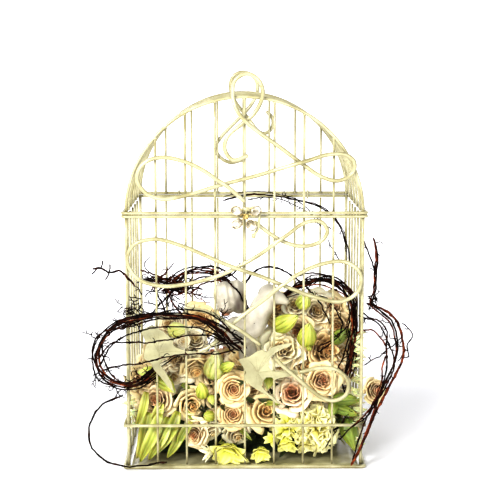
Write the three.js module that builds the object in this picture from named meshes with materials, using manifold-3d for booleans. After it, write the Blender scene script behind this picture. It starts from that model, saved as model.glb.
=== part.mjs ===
// Wedding card box: a painted wire cage with a hinged lid, a latch, and its flower and vine dressing.
// Millimetres, +Z up. X is the width, -Y is the front. The origin is the centre of the underside.
import * as THREE from 'three';
import { mergeVertices } from 'three/addons/utils/BufferGeometryUtils.js';
import Module from 'manifold-3d';

const wasm = await Module();
wasm.setup();

// ---------- driving dimensions ----------
const PITCH = 33; // spacing of the upright wires
const HALF_W = 4 * PITCH; // corner post to middle, along X
const HALF_D = 3 * PITCH; // corner post to middle, along Y
const GAP = 0.3; // clearance between pieces that are only spot-joined
const THIN = 1.3; // radius of the filling wires
const STOUT = 1.8; // radius of posts, rims, arches and cross rails
const SCROLL = 2.25; // radius of the scroll wires
const FOOT = 2.2; // radius of the base rim wire
const RAIL_Z = 50.5; // height of the low cross rails
const BODY_TOP = 289.4; // centre height of the body rim
const LID_BASE = BODY_TOP + 2 * STOUT + GAP; // centre height of the lid rim
const LID_RISE = 128.5; // rise of the arches above the lid rim
const RIM_OUT = STOUT + GAP + STOUT; // rims run round the outside of the posts
const RIM_X = HALF_W + RIM_OUT;
const RIM_Y = HALF_D + RIM_OUT;
const FILL_OUT = 1.2; // filling wires sit this far outside the post line, against the rails
const SCROLL_Y = -(HALF_D + FILL_OUT + THIN + GAP + SCROLL); // plane of the front scrolls
const STEP_OUT = 2 * SCROLL + 0.7; // how far one scroll wire stands off another where they cross
const SHEET = 1.6; // thickness of the flat doves

// ---------- colours ----------
const IVORY = '#e9e3bd';
const IVORY_PALE = '#efead0';
const GOLD = '#b9975a';
const CRYSTAL = '#f4f4ee';
const TWIG = '#3b2620';
const FOAM = '#4f6a3a';

const box = new THREE.Group();
box.name = 'wedding_card_box';

// ---------- small helpers ----------
function paint(colour, roughness, metalness) {
  return new THREE.MeshStandardMaterial({ color: colour, roughness, metalness });
}

const enamel = () => paint(IVORY, 0.35, 0.1);
const twigBark = () => paint(TWIG, 0.8, 0);

function piece(name, geometry, material) {
  const mesh = new THREE.Mesh(geometry, material);
  mesh.name = name;
  box.add(mesh);
  return mesh;
}

function vec(x, y, z) {
  return new THREE.Vector3(x, y, z);
}

function weldable(geometry) {
  const bare = geometry.clone();
  bare.deleteAttribute('normal');
  bare.deleteAttribute('uv');
  return mergeVertices(bare, 1e-4);
}

function solid(geometry) {
  const g = weldable(geometry);
  const mesh = new wasm.Mesh({
    numProp: 3,
    vertProperties: new Float32Array(g.attributes.position.array),
    triVerts: new Uint32Array(g.index.array),
  });
  return new wasm.Manifold(mesh);
}

function fromSolid(body) {
  const mesh = body.getMesh();
  const g = new THREE.BufferGeometry();
  g.setAttribute('position', new THREE.BufferAttribute(new Float32Array(mesh.vertProperties), 3));
  g.setIndex(new THREE.BufferAttribute(new Uint32Array(mesh.triVerts), 1));
  g.computeVertexNormals();
  return g;
}

function weld(geometries) {
  return fromSolid(geometries.map(solid).reduce((sum, next) => sum.add(next)));
}

function cut(geometry, tools) {
  return fromSolid(tools.map(solid).reduce((left, next) => left.subtract(next), solid(geometry)));
}

// A straight round wire from a to b.
function rod(a, b, radius, sides = 8) {
  const along = b.clone().sub(a);
  const g = new THREE.CylinderGeometry(radius, radius, along.length(), sides);
  const turn = new THREE.Quaternion().setFromUnitVectors(vec(0, 1, 0), along.normalize());
  g.applyQuaternion(turn);
  const middle = a.clone().add(b).multiplyScalar(0.5);
  g.translate(middle.x, middle.y, middle.z);
  return g;
}

// A round wire along a curve, with flat ends. Its section has an even number of sides.
function wireAlong(curve, radius, sides, steps) {
  const section = new THREE.Shape().absarc(0, 0, radius, 0, 2 * Math.PI);
  const settings = { steps, extrudePath: curve, bevelEnabled: false, curveSegments: sides / 2 };
  return new THREE.ExtrudeGeometry(section, settings);
}

// A round wire bent smoothly through the given points.
function bentWire(points, radius, sides, spacing) {
  const curve = new THREE.CatmullRomCurve3(points, false, 'centripetal');
  const steps = Math.max(4, Math.round(curve.getLength() / spacing));
  return wireAlong(curve, radius, sides, steps);
}

// A rectangle of wire with rounded corners, lying flat.
function wireRing(halfX, halfY, z, radius) {
  const bend = 3.6;
  const lap = 0.4;
  const parts = [];
  for (const side of [-1, 1]) {
    const reachX = halfX - bend + lap;
    const reachY = halfY - bend + lap;
    parts.push(rod(vec(-reachX, side * halfY, z), vec(reachX, side * halfY, z), radius));
    parts.push(rod(vec(side * halfX, -reachY, z), vec(side * halfX, reachY, z), radius));
    for (const face of [-1, 1]) {
      parts.push(wireAlong(new CornerCurve(side, face, halfX, halfY, z, bend), radius, 8, 3));
    }
  }
  return weld(parts);
}

class CornerCurve extends THREE.Curve {
  constructor(sideX, sideY, halfX, halfY, z, bend) {
    super();
    Object.assign(this, { sideX, sideY, halfX, halfY, z, bend });
  }

  getPoint(t) {
    const angle = (t * Math.PI) / 2;
    const x = this.sideX * (this.halfX - this.bend + this.bend * Math.cos(angle));
    const y = this.sideY * (this.halfY - this.bend + this.bend * Math.sin(angle));
    return vec(x, y, this.z);
  }
}

function ball(x, y, z, rx, ry, rz, wide = 10, high = 7) {
  const g = new THREE.SphereGeometry(1, wide, high);
  g.rotateX(Math.PI / 2);
  g.scale(rx, ry, rz);
  g.translate(x, y, z);
  return g;
}

// ---------- base ----------
function addBase() {
  const out = 0.5;
  piece('base_rim', wireRing(RIM_X + out, RIM_Y + out, FOOT, FOOT), enamel());
  const width = 2 * (HALF_W - STOUT - 0.7);
  const depth = 2 * (HALF_D - STOUT - 0.7);
  const floor = new THREE.BoxGeometry(width, depth, 1.2);
  floor.translate(0, 0, 0.6);
  piece('floor_panel', floor, enamel());
}

// ---------- body ----------
function addPosts() {
  const places = [['front_left', -1, -1], ['front_right', 1, -1], ['back_left', -1, 1], ['back_right', 1, 1]];
  for (const [where, sx, sy] of places) {
    const foot = vec(sx * HALF_W, sy * HALF_D, 0.3);
    const head = vec(sx * HALF_W, sy * HALF_D, BODY_TOP + STOUT);
    piece(`post_${where}`, rod(foot, head, STOUT), enamel());
  }
}

function addWidePanel(name, side) {
  const wires = [];
  const y = side * (HALF_D + FILL_OUT);
  for (let k = -3; k <= 3; k++) {
    const x = k * PITCH;
    wires.push(rod(vec(x, y, 2 * FOOT + GAP), vec(x, y, BODY_TOP - STOUT - GAP), THIN));
  }
  const railY = side * RIM_Y;
  wires.push(rod(vec(-RIM_X - 1, railY, RAIL_Z), vec(RIM_X + 1, railY, RAIL_Z), STOUT));
  piece(name, weld(wires), enamel());
}

function addSidePanel(name, side) {
  const wires = [];
  const x = side * (HALF_W + FILL_OUT);
  for (let k = -2; k <= 2; k++) {
    const y = k * PITCH;
    wires.push(rod(vec(x, y, 2 * FOOT + GAP), vec(x, y, BODY_TOP - STOUT - GAP), THIN));
  }
  const reach = RIM_Y - STOUT - GAP;
  wires.push(rod(vec(side * RIM_X, -reach, RAIL_Z), vec(side * RIM_X, reach, RAIL_Z), STOUT));
  piece(name, weld(wires), enamel());
}

function addRim(name, z) {
  piece(name, wireRing(RIM_X, RIM_Y, z, STOUT), enamel());
}

// ---------- lid ----------
class ArchCurve extends THREE.Curve {
  constructor(y) {
    super();
    this.y = y;
  }

  getPoint(t) {
    const angle = Math.PI * (1 - t);
    const z = LID_BASE - 0.8 + (LID_RISE + 0.8) * Math.sin(angle);
    return vec(HALF_W * Math.cos(angle), this.y, z);
  }
}

function addEndArch(name, side) {
  const y = side * HALF_D;
  const wires = [wireAlong(new ArchCurve(y), STOUT, 8, 26)];
  for (let k = -3; k <= 3; k++) {
    const x = k * PITCH;
    const top = LID_BASE + LID_RISE * Math.sqrt(1 - (x / HALF_W) ** 2);
    const fillY = y + side * 0.4;
    wires.push(rod(vec(x, fillY, LID_BASE - 1.2), vec(x, fillY, top), THIN));
  }
  piece(name, weld(wires), enamel());
}

function addHoops() {
  for (let k = -2; k <= 2; k++) {
    piece(`lid_hoop_${k + 3}`, wireAlong(new ArchCurve(k * PITCH), THIN, 6, 24), enamel());
  }
}

// ---------- scrolls ----------
// Each row is x, height above the rim, and how many wire steps the wire stands forward there.
const LID_SCROLL = [
  [3, 64, 0], [-13, 59, 0], [-22, 71, 0], [-19, 85, 0], [-3, 99, 0], [11, 111, 0], [20, 132, 0],
  [15, 147, 0], [2, 154, 0], [-11, 146, 0], [-13, 129, 0], [-8, 113, 0.8], [2, 101, 1.1],
  [14, 91, 0.5], [35, 76, 0], [62, 56, 0], [84, 41, 0], [103, 36, 0], [119, 44, 0], [121, 57, 0],
  [111, 65, 0], [91, 65, 0.4], [70, 59, 1.1], [56, 55, 1.1], [40, 50, 0.4], [14, 42, 0],
  [-28, 31, 0], [-65, 20, 0], [-92, 16, 0], [-111, 24, 0], [-119, 40, 0], [-112, 55, 0],
  [-94, 62, 0], [-68, 58, 0], [-46, 48, 0.4], [-31, 38, 1.1], [-20, 31, 1.1], [-10, 22, 0.4], [0, 13, 0],
];

const BODY_SCROLL = [
  [11, -6, 0], [28, -19, 0], [43, -28, 0], [60, -33, 0], [75, -32, 0], [87, -26, 0], [92, -16, 0],
  [85, -6, 0], [74, -5, 0], [62, -9, 0.4], [48, -19, 1.1], [34, -29, 1.1], [20, -40, 0.4],
  [-1, -53, 0], [-23, -64, 0], [-44, -71, 0], [-66, -76, 0], [-93, -78, 0], [-120, -69, 0],
  [-131, -49, 0], [-124, -32, 0], [-100, -25, 0], [-69, -33, 0], [-40, -45, 0.3], [-20, -53, 1.1],
  [-1, -60, 1.1], [18, -67, 0.3], [44, -78, 0], [76, -90, 0], [108, -96, 0], [127, -84, 0],
  [129, -64, 0], [112, -51, 0], [84, -54, 0], [60, -64, 0.6], [49, -71, 1.1], [34, -82, 1.1],
  [18, -96, 0.3], [1, -109, 0], [-12, -120, 0], [-31, -140, 0], [-43, -149, 0], [-52, -153, 0],
];

const BACK_LID_SCROLL = [
  [-2, 42, 0], [-16, 39, 0], [-29, 45, 0], [-36, 58, 0], [-28, 72, 0], [-14, 87, 0], [1, 102, 0],
  [12, 116, 0], [18, 130, 0], [17, 142, 0], [10, 151, 0], [0, 154, 0], [-10, 151, 0],
  [-16, 141, 0], [-15, 127, 0], [-8, 113, 0.8], [1, 102, 1.1], [10, 90, 0.8], [18, 80, 0],
  [26, 76, 0], [34, 80, 0], [38, 88, 0], [37, 96, 0], [30, 104, 0],
];

const UPPER_RIBBON = [
  [-67, -103, 0], [-47, -106, 0], [-30, -112, 0.7], [-16, -121, 1.1], [-3, -129, 0.8], [9, -139, 0],
  [17, -145, 0],
];

const LOWER_RIBBON = [
  [62, -177, 0], [79, -173, 0], [94, -172, 0], [105, -175, 0], [113, -182, 0], [117, -191, 0],
  [115, -202, 0], [108, -208, 0], [98, -210, 0], [88, -207, 0], [77, -199, 0.3], [64, -187, 1],
  [53, -177, 1.1], [42, -168, 1.1], [35, -160, 1.1],
];

function scrollWire(rows, z, face = 1) {
  const points = rows.map(([x, up, forward]) => {
    return vec(x, face * (SCROLL_Y - forward * STEP_OUT), z + up);
  });
  return bentWire(points, SCROLL, 6, 8);
}

// ---------- flat doves ----------
// A thin sheet cut to an outline given as x and height above the table.
function cutSheet(outline) {
  const shape = new THREE.Shape(outline.map(([x, z]) => new THREE.Vector2(x, z)));
  const g = new THREE.ExtrudeGeometry(shape, { depth: SHEET, bevelEnabled: false, curveSegments: 4 });
  g.rotateX(Math.PI / 2);
  g.translate(0, SCROLL_Y + SHEET / 2, 0);
  return g;
}

const RIGHT_DOVE = [
  [-7, 127], [6, 131], [13, 136], [20, 139], [22, 136], [25, 136], [30, 141], [44, 145], [54, 146],
  [49, 142], [41, 139], [34, 135], [29, 131], [27, 125], [26, 119], [29, 115], [34, 113], [43, 114],
  [59, 115], [60, 110], [51, 108], [39, 106], [34, 104], [30, 107], [24, 107], [20, 102], [19, 96],
  [25, 89], [32, 83], [41, 75], [34, 78], [25, 86], [15, 92], [6, 98], [0, 104], [-1, 108],
  [2, 112], [0, 116], [-3, 121],
];

const LEFT_DOVE = [
  [-116, 161], [-104, 167], [-92, 160], [-80, 149], [-81, 146], [-79, 142], [-74, 140], [-65, 137],
  [-55, 137], [-55, 132], [-66, 133], [-79, 132], [-87, 131], [-95, 126], [-95, 121], [-89, 112],
  [-83, 101], [-80, 90], [-88, 98], [-95, 108], [-102, 116], [-105, 123], [-109, 126],
  [-113, 129], [-113, 136], [-110, 145],
];

// ---------- hinge links ----------
function addHingeLinks() {
  const wire = 0.9;
  const room = STOUT + 0.4 + wire;
  for (const [name, x] of [['hinge_link_left', -2.5 * PITCH], ['hinge_link_right', 2.5 * PITCH]]) {
    const loop = [];
    const turns = 6;
    for (let k = 0; k <= turns; k++) {
      const angle = (Math.PI * (k - 0.3)) / turns;
      loop.push(vec(x, RIM_Y + room * Math.cos(angle), LID_BASE + room * Math.sin(angle)));
    }
    for (let k = 0; k <= turns; k++) {
      const angle = Math.PI + (Math.PI * (k + 0.3)) / turns;
      loop.push(vec(x, RIM_Y + room * Math.cos(angle), BODY_TOP + room * Math.sin(angle)));
    }
    piece(name, bentWire(loop, wire, 6, 1.6), enamel());
  }
}

// ---------- latch ----------
function addLatch() {
  const pinY = -(RIM_Y + STOUT + GAP + 2.6);
  const pinZ = LID_BASE + 4.7;
  const pinX = 3;
  const pin = 0.9;
  const half = 6.5;
  const staple = [];
  for (const side of [-1, 1]) {
    const x = pinX + side * half;
    staple.push(rod(vec(x, pinY, pinZ), vec(x, -RIM_Y - 1.7, LID_BASE + 1.6), pin));
    staple.push(ball(x, pinY, pinZ, pin * 1.05, pin * 1.05, pin * 1.05, 8, 6));
  }
  staple.push(rod(vec(pinX - half, pinY, pinZ), vec(pinX + half, pinY, pinZ), pin));
  piece('latch_staple', weld(staple), enamel());

  const knuckle = rod(vec(pinX - 4.6, pinY, pinZ), vec(pinX + 4.6, pinY, pinZ), 2.6, 14);
  const bore = rod(vec(pinX - 6, pinY, pinZ), vec(pinX + 6, pinY, pinZ), pin + GAP, 12);
  const front = pinY - 4.6;
  const hook = bentWire([
    vec(pinX + 2, pinY - 1.9, pinZ + 0.6), vec(pinX + 6, pinY - 3.4, pinZ + 2.4),
    vec(pinX + 10, front, pinZ - 0.5), vec(pinX + 13, front, pinZ - 6), vec(pinX + 12.5, front, pinZ - 14),
    vec(pinX + 11, front, pinZ - 22), vec(pinX + 7, front + 0.4, pinZ - 28),
  ], 1.5, 8, 2.5);
  const tip = ball(pinX + 6.6, front + 0.4, pinZ - 29, 2.5, 2.4, 2.8, 10, 8);
  const arm = rod(vec(pinX - 1.5, pinY - 1.6, pinZ - 1), vec(pinX - 2, pinY - 2.8, pinZ - 9), 1.1);
  const turning = weld([knuckle, hook, tip, arm]);
  piece('latch_hook', cut(turning, [bore]), enamel());

  const plateZ = LID_BASE - 2.6;
  const plateY = pinY - 5.2;
  const plate = new THREE.CylinderGeometry(3.4, 3.4, 1.6, 16);
  plate.translate(1, plateY, plateZ);
  piece('latch_plate', plate, paint(GOLD, 0.3, 1));
  const petals = [
    ['upper_left', -10, 6.5], ['upper_right', 11, 6.5], ['lower_left', -9.5, -7.5], ['lower_right', 6, -9.5],
  ];
  for (const [where, dx, dz] of petals) {
    const g = new THREE.SphereGeometry(1, 10, 7);
    g.scale(6.2, 2.2, 4);
    g.rotateY(-Math.atan2(dz, dx));
    g.translate(1 + dx, plateY - 3.5, plateZ + dz);
    piece(`crystal_petal_${where}`, g, paint(CRYSTAL, 0.05, 0));
  }
}

// ---------- dressing ----------
const VINES = {
  vine_wreath_left: {
    radius: 4,
    points: [
      [-48, -119, 178], [-30, -118, 166], [-15, -105, 149], [-4, -90, 145], [-26, -84, 141],
      [-62, -88, 133], [-96, -88, 116], [-115.5, -101, 104], [-124, -112, 102], [-142, -115, 103],
      [-157, -113, 112], [-164, -111, 130], [-155, -113, 158], [-131, -118, 173], [-101, -118, 178],
      [-75, -118, 180],
    ],
  },
  vine_wreath_right: {
    radius: 4.5,
    points: [
      [30, -20, 166], [47, -32, 186], [68, -48, 203], [90, -64, 211], [108, -74, 206],
      [120, -80, 192], [124, -82, 172], [124, -82, 148], [122, -80, 124], [117, -76, 100],
    ],
  },
  vine_back: {
    radius: 3,
    points: [
      [-98, 28, 176], [-88, 32, 190], [-72, 34, 200], [-50, 35, 204], [-32, 34, 200], [-14, 30, 188],
      [-2, 24, 172], [6, 16, 156],
    ],
  },
  vine_top: {
    radius: 2,
    points: [
      [-25, -8, 297], [-8, -12, 302], [12, -14, 305], [36, -14, 303], [66, -14, 297], [90, -16, 290],
      [108, -22, 276], [118, -34, 254], [121, -50, 226],
    ],
  },
  vine_right: {
    radius: 3.5,
    points: [
      [146, -78, 262], [149, -82, 244], [147, -86, 222], [148, -90, 200], [158, -94, 184],
      [170, -94, 169], [176, -94, 150], [177, -94, 132], [173, -94, 115], [164, -96, 98],
      [155, -100, 82], [147, -107, 66], [140, -113, 50], [133, -114, 32], [124, -114, 12],
    ],
  },
  vine_tendril_left: {
    radius: 1.4,
    points: [
      [-136, -124, 92], [-158, -122, 81], [-170, -120, 66], [-175, -118, 50], [-173, -117, 33],
      [-164, -117, 20], [-150, -117, 12], [-133, -117, 8], [-110, -117, 9], [-88, -117, 13],
    ],
  },
};

function addVines() {
  for (const [name, row] of Object.entries(VINES)) {
    const points = row.points.map(([x, y, z]) => vec(x, y, z));
    piece(name, bentWire(points, row.radius, 6, 13), twigBark());
  }
}

function addFoam() {
  const g = new THREE.BoxGeometry(2 * HALF_W - 60, 2 * HALF_D - 70, 62);
  g.translate(0, 12, 2.6 + 31);
  piece('floral_foam', g, paint(FOAM, 0.9, 0));
}

// Name, colour, place and size of each flower head.
const FLOWERS = [
  ['rose_blush', '#f3d9c8', -101, -70, 69, 19],
  ['rose_cream', '#f2e7cf', -62, -72, 62, 17],
  ['rose_spiral_upper', '#f5e0cc', -13, -74, 84, 16],
  ['rose_spiral_lower', '#f6dfc6', -14, -74, 51, 14],
  ['rose_peach_open', '#f3d0b5', 24, -72, 56, 17],
  ['rose_dark_heart', '#f0d3c2', 56, -70, 76, 18],
  ['rose_pink', '#f1c9bd', 91, -72, 92, 16],
  ['rose_ivory', '#f7eedd', 45, -44, 122, 26],
  ['rose_ruffled', '#f4d6bd', 96, -40, 126, 24],
  ['rose_pale', '#f6dfcb', 84, -24, 172, 20],
  ['rose_cluster', '#f4e4cb', -76, -48, 108, 20],
  ['rose_outside_right', '#edc4b0', 157, -62, 79, 13],
  ['bloom_yellow', '#eef0b4', 82, -74, 36, 19],
  ['bloom_hanging', '#f1f0bf', -19, -78, 18, 14],
  ['bud_green', '#cfd98a', -36, -56, 108, 12],
  ['leaves_left', '#b5c27a', -107, -74, 26, 20],
];

function addFlowers() {
  for (const [name, colour, x, y, z, r] of FLOWERS) {
    piece(name, ball(x, y, z, r, r * 0.85, r * 0.92), paint(colour, 0.6, 0));
  }
}

function addDoveFigurines() {
  const white = () => paint('#f5f3ee', 0.4, 0);
  const left = [
    ball(-14, -30, 190, 17, 15, 22, 12, 8),
    ball(-20, -36, 170, 11, 11, 13, 12, 8),
  ];
  piece('dove_figurine_left', weld(left), white());
  const right = [
    ball(16, -62, 170, 13, 13, 26, 12, 8),
    ball(27, -60, 190, 13, 12, 11, 12, 8),
    ball(2, -64, 148, 14, 14, 15, 12, 8),
  ];
  piece('dove_figurine_right', weld(right), white());
}

// ---------- assembly ----------
addBase();
addPosts();
addWidePanel('front_panel', -1);
addWidePanel('back_panel', 1);
addSidePanel('left_panel', -1);
addSidePanel('right_panel', 1);
addRim('body_rim', BODY_TOP);
piece('body_scroll', scrollWire(BODY_SCROLL, BODY_TOP), enamel());
piece('ribbon_upper', scrollWire(UPPER_RIBBON, BODY_TOP), enamel());
piece('ribbon_lower', scrollWire(LOWER_RIBBON, BODY_TOP), enamel());
piece('sheet_dove_left', cutSheet(LEFT_DOVE), paint(IVORY_PALE, 0.4, 0.1));
piece('sheet_dove_right', cutSheet(RIGHT_DOVE), paint(IVORY_PALE, 0.4, 0.1));
addRim('lid_rim', LID_BASE);
addEndArch('lid_front_arch', -1);
addEndArch('lid_back_arch', 1);
addHoops();
piece('lid_scroll_front', scrollWire(LID_SCROLL, LID_BASE), enamel());
piece('lid_scroll_back', scrollWire(BACK_LID_SCROLL, LID_BASE, -1), enamel());
addHingeLinks();
addLatch();
addFoam();
addFlowers();
addDoveFigurines();
addVines();

export default box;
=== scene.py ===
"""Looks for the wedding card box: enamelled wire cage, crystal latch, roses, doves and dried vine."""

import math
import random

import bpy
import numpy as np
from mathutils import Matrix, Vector


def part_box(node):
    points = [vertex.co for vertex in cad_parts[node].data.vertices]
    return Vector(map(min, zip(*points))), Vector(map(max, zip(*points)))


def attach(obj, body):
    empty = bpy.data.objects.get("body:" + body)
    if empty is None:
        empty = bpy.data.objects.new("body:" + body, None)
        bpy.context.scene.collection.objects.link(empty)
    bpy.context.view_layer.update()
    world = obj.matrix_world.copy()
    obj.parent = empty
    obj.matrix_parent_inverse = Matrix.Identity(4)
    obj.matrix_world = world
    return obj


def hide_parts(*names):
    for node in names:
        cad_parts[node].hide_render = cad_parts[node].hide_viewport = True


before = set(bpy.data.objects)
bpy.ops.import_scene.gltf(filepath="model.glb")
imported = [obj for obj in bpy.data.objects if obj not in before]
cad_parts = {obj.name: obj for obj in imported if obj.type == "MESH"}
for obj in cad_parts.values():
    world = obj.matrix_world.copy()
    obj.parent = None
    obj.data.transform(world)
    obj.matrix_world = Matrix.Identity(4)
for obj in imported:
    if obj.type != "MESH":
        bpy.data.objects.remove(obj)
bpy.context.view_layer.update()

MM = 0.001
rng = random.Random(11)


def jitter(amount):
    """A random shift, up or down by no more than the amount."""
    return rng.uniform(-amount, amount)


# ---------- sizes shared with the cage, in millimetres ----------
PITCH = 33
HALF_W = 4 * PITCH
HALF_D = 3 * PITCH
GAP = 0.3
THIN = 1.3
STOUT = 1.8
SCROLL = 2.25
FOOT = 2.2
FLOOR_THICK = 1.2
RAIL_Z = 50.5
BODY_TOP = 289.4
LID_BASE = BODY_TOP + 2 * STOUT + GAP
LID_RISE = 128.5
RIM_X = HALF_W + 2 * STOUT + GAP
RIM_Y = HALF_D + 2 * STOUT + GAP
FILL_OUT = 1.2
SCROLL_Y = -(HALF_D + FILL_OUT + THIN + GAP + SCROLL)
STEP_OUT = 2 * SCROLL + 0.7


# ---------- camera ----------
CAMERA_LENS = 84.7
CAMERA_PLACE = (-0.0113, -1.3985, 0.4585)
CAMERA_DOWN = 0.1157
CAMERA_TURN = -0.0132


def add_camera():
    """A camera fitted to the corners, rims and scrolls of the cage."""
    data = bpy.data.cameras.new("camera")
    data.lens = CAMERA_LENS
    data.sensor_width = 36
    data.shift_y = -0.10
    data.clip_end = 50
    cam = bpy.data.objects.new("camera", data)
    cam.location = CAMERA_PLACE
    cam.rotation_euler = (math.pi / 2 - CAMERA_DOWN, 0, CAMERA_TURN)
    bpy.context.scene.collection.objects.link(cam)
    bpy.context.scene.camera = cam


add_camera()


# ---------- mesh helpers ----------
class Clay:
    """Collects closed surfaces and turns them into one object."""

    def __init__(self):
        self.verts = []
        self.faces = []
        self.tints = []
        self.count = 0

    def add(self, points, faces, tint=(1, 1, 1)):
        """Adds one closed surface, in millimetres."""
        points = np.asarray(points, float).reshape(-1, 3)
        tint = np.asarray(tint, float)
        if tint.ndim == 1:
            tint = np.tile(tint, (len(points), 1))
        self.verts.append(points)
        self.tints.append(tint)
        self.faces.extend([tuple(i + self.count for i in f) for f in faces])
        self.count += len(points)

    def build(self, name, material, body, replaces=(), smooth=True):
        """Makes the object, which rides on the body and takes the place of the nodes it replaces."""
        mesh = bpy.data.meshes.new(name)
        verts = np.concatenate(self.verts) * MM
        verts[:, 2] = np.maximum(verts[:, 2], 0)
        mesh.from_pydata(verts.tolist(), [], self.faces)
        colours = np.ones((len(verts), 4), np.float32)
        colours[:, :3] = np.concatenate(self.tints)
        layer = mesh.color_attributes.new("tint", "FLOAT_COLOR", "POINT")
        layer.data.foreach_set("color", colours.ravel())
        mesh.polygons.foreach_set("use_smooth", [smooth] * len(mesh.polygons))
        mesh.materials.append(material)
        mesh.update()
        obj = bpy.data.objects.new(name, mesh)
        bpy.context.scene.collection.objects.link(obj)
        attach(obj, body)
        if replaces:
            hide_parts(*replaces)


def unit(v):
    """The vector at length 1."""
    v = np.asarray(v, float)
    return v / max(np.linalg.norm(v), 1e-9)


def turn_to(direction):
    """A matrix whose third column is the direction."""
    w = unit(direction)
    spare = np.array([0, 0, 1.0]) if abs(w[2]) < 0.9 else np.array([1.0, 0, 0])
    u = unit(np.cross(spare, w))
    v = np.cross(w, u)
    return np.stack([u, v, w], axis=1)


def smooth_path(rows, spacing, closed=False):
    """Points along a centripetal Catmull-Rom curve, close to evenly spaced."""
    p = np.asarray(rows, float)
    if closed:
        p = np.concatenate([p[-1:], p, p[:2]])
    else:
        p = np.concatenate([[2 * p[0] - p[1]], p, [2 * p[-1] - p[-2]]])
    out = []
    for a, b, c, d in zip(p[:-3], p[1:-2], p[2:-1], p[3:]):
        t1 = max(np.linalg.norm(b - a), 1e-6) ** 0.5
        t2 = t1 + max(np.linalg.norm(c - b), 1e-6) ** 0.5
        t3 = t2 + max(np.linalg.norm(d - c), 1e-6) ** 0.5
        steps = max(2, int(round(np.linalg.norm(c - b) / spacing)))
        for k in range(steps):
            t = t1 + (t2 - t1) * k / steps
            ab = a * (t1 - t) / t1 + b * t / t1
            bc = b * (t2 - t) / (t2 - t1) + c * (t - t1) / (t2 - t1)
            cd = c * (t3 - t) / (t3 - t2) + d * (t - t2) / (t3 - t2)
            abc = ab * (t2 - t) / t2 + bc * t / t2
            bcd = bc * (t3 - t) / (t3 - t1) + cd * (t - t1) / (t3 - t1)
            out.append(abc * (t2 - t) / (t2 - t1) + bcd * (t - t1) / (t2 - t1))
    if not closed:
        out.append(p[-2])
    return np.array(out)


def path_frames(path, closed):
    """Two directions across a path, at each of its points, that don't twist along it."""
    if closed:
        tangents = np.roll(path, -1, 0) - np.roll(path, 1, 0)
    else:
        tangents = np.gradient(path, axis=0)
    tangents /= np.maximum(np.linalg.norm(tangents, axis=1, keepdims=True), 1e-9)
    spare = np.array([0, 1.0, 0]) if abs(tangents[0][1]) < 0.9 else np.array([1.0, 0, 0])
    across = unit(spare - tangents[0] * spare.dot(tangents[0]))
    us = []
    for t in tangents:
        across = unit(across - t * across.dot(t))
        us.append(across)
    us = np.array(us)
    if closed:
        end = unit(us[-1] - tangents[0] * us[-1].dot(tangents[0]))
        slip = math.atan2(np.cross(us[0], end).dot(tangents[0]), us[0].dot(end))
        angle = -slip * np.arange(len(path)) / len(path)
        side = np.cross(tangents, us)
        us = us * np.cos(angle)[:, None] + side * np.sin(angle)[:, None]
    return us, np.cross(tangents, us)


def ring_faces(bands, rings, sides):
    """Faces between neighbouring rings of points. With as many bands as rings, it closes on itself."""
    faces = []
    for i in range(bands):
        here = i * sides
        there = (i + 1) % rings * sides
        for k in range(sides):
            k2 = (k + 1) % sides
            faces.append((here + k, here + k2, there + k2, there + k))
    return faces


def tube(clay, path, radius, sides=12, closed=False, tint=(1, 1, 1), round_ends=True):
    """A closed round tube along a path. The radius is one number or one for each point."""
    path = np.asarray(path, float)
    radius = np.broadcast_to(np.asarray(radius, float), (len(path),)).copy()
    if round_ends and not closed:
        before = path[0] + unit(path[0] - path[1]) * radius[0] * 0.35
        after = path[-1] + unit(path[-1] - path[-2]) * radius[-1] * 0.35
        path = np.concatenate([[before], path, [after]])
        radius = np.concatenate([[radius[0] * 0.6], radius, [radius[-1] * 0.6]])
    us, vs = path_frames(path, closed)
    angles = 2 * math.pi * np.arange(sides) / sides
    ring = us[:, None, :] * np.cos(angles)[None, :, None] + vs[:, None, :] * np.sin(angles)[None, :, None]
    points = path[:, None, :] + ring * radius[:, None, None]
    n = len(path)
    faces = ring_faces(n if closed else n - 1, n, sides)
    if not closed:
        faces.append(tuple(range(sides))[::-1])
        faces.append(tuple((n - 1) * sides + k for k in range(sides)))
    clay.add(points, faces, tint)


def straight(clay, a, b, radius, sides=12, tint=(1, 1, 1)):
    """A straight wire with flat ends."""
    a = np.asarray(a, float)
    b = np.asarray(b, float)
    steps = max(2, int(np.linalg.norm(b - a) / 30))
    tube(clay, np.linspace(a, b, steps + 1), radius, sides, tint=tint, round_ends=False)


def blob(clay, centre, size, tint=(1, 1, 1), wide=12, high=8, turn=None):
    """A closed ellipsoid."""
    points = [(0, 0, 1)]
    for i in range(1, high):
        a = math.pi * i / high
        for k in range(wide):
            b = 2 * math.pi * k / wide
            points.append((math.sin(a) * math.cos(b), math.sin(a) * math.sin(b), math.cos(a)))
    points.append((0, 0, -1))
    points = np.array(points) * np.asarray(size, float)
    if turn is not None:
        points = points @ np.asarray(turn).T
    faces = []
    last = len(points) - 1
    for k in range(wide):
        k2 = (k + 1) % wide
        faces.append((0, 1 + k, 1 + k2))
        base = 1 + (high - 2) * wide
        faces.append((last, base + k2, base + k))
        for i in range(high - 2):
            a = 1 + i * wide
            faces.append((a + k, a + wide + k, a + wide + k2, a + k2))
    clay.add(points + np.asarray(centre, float), faces, tint)


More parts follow.
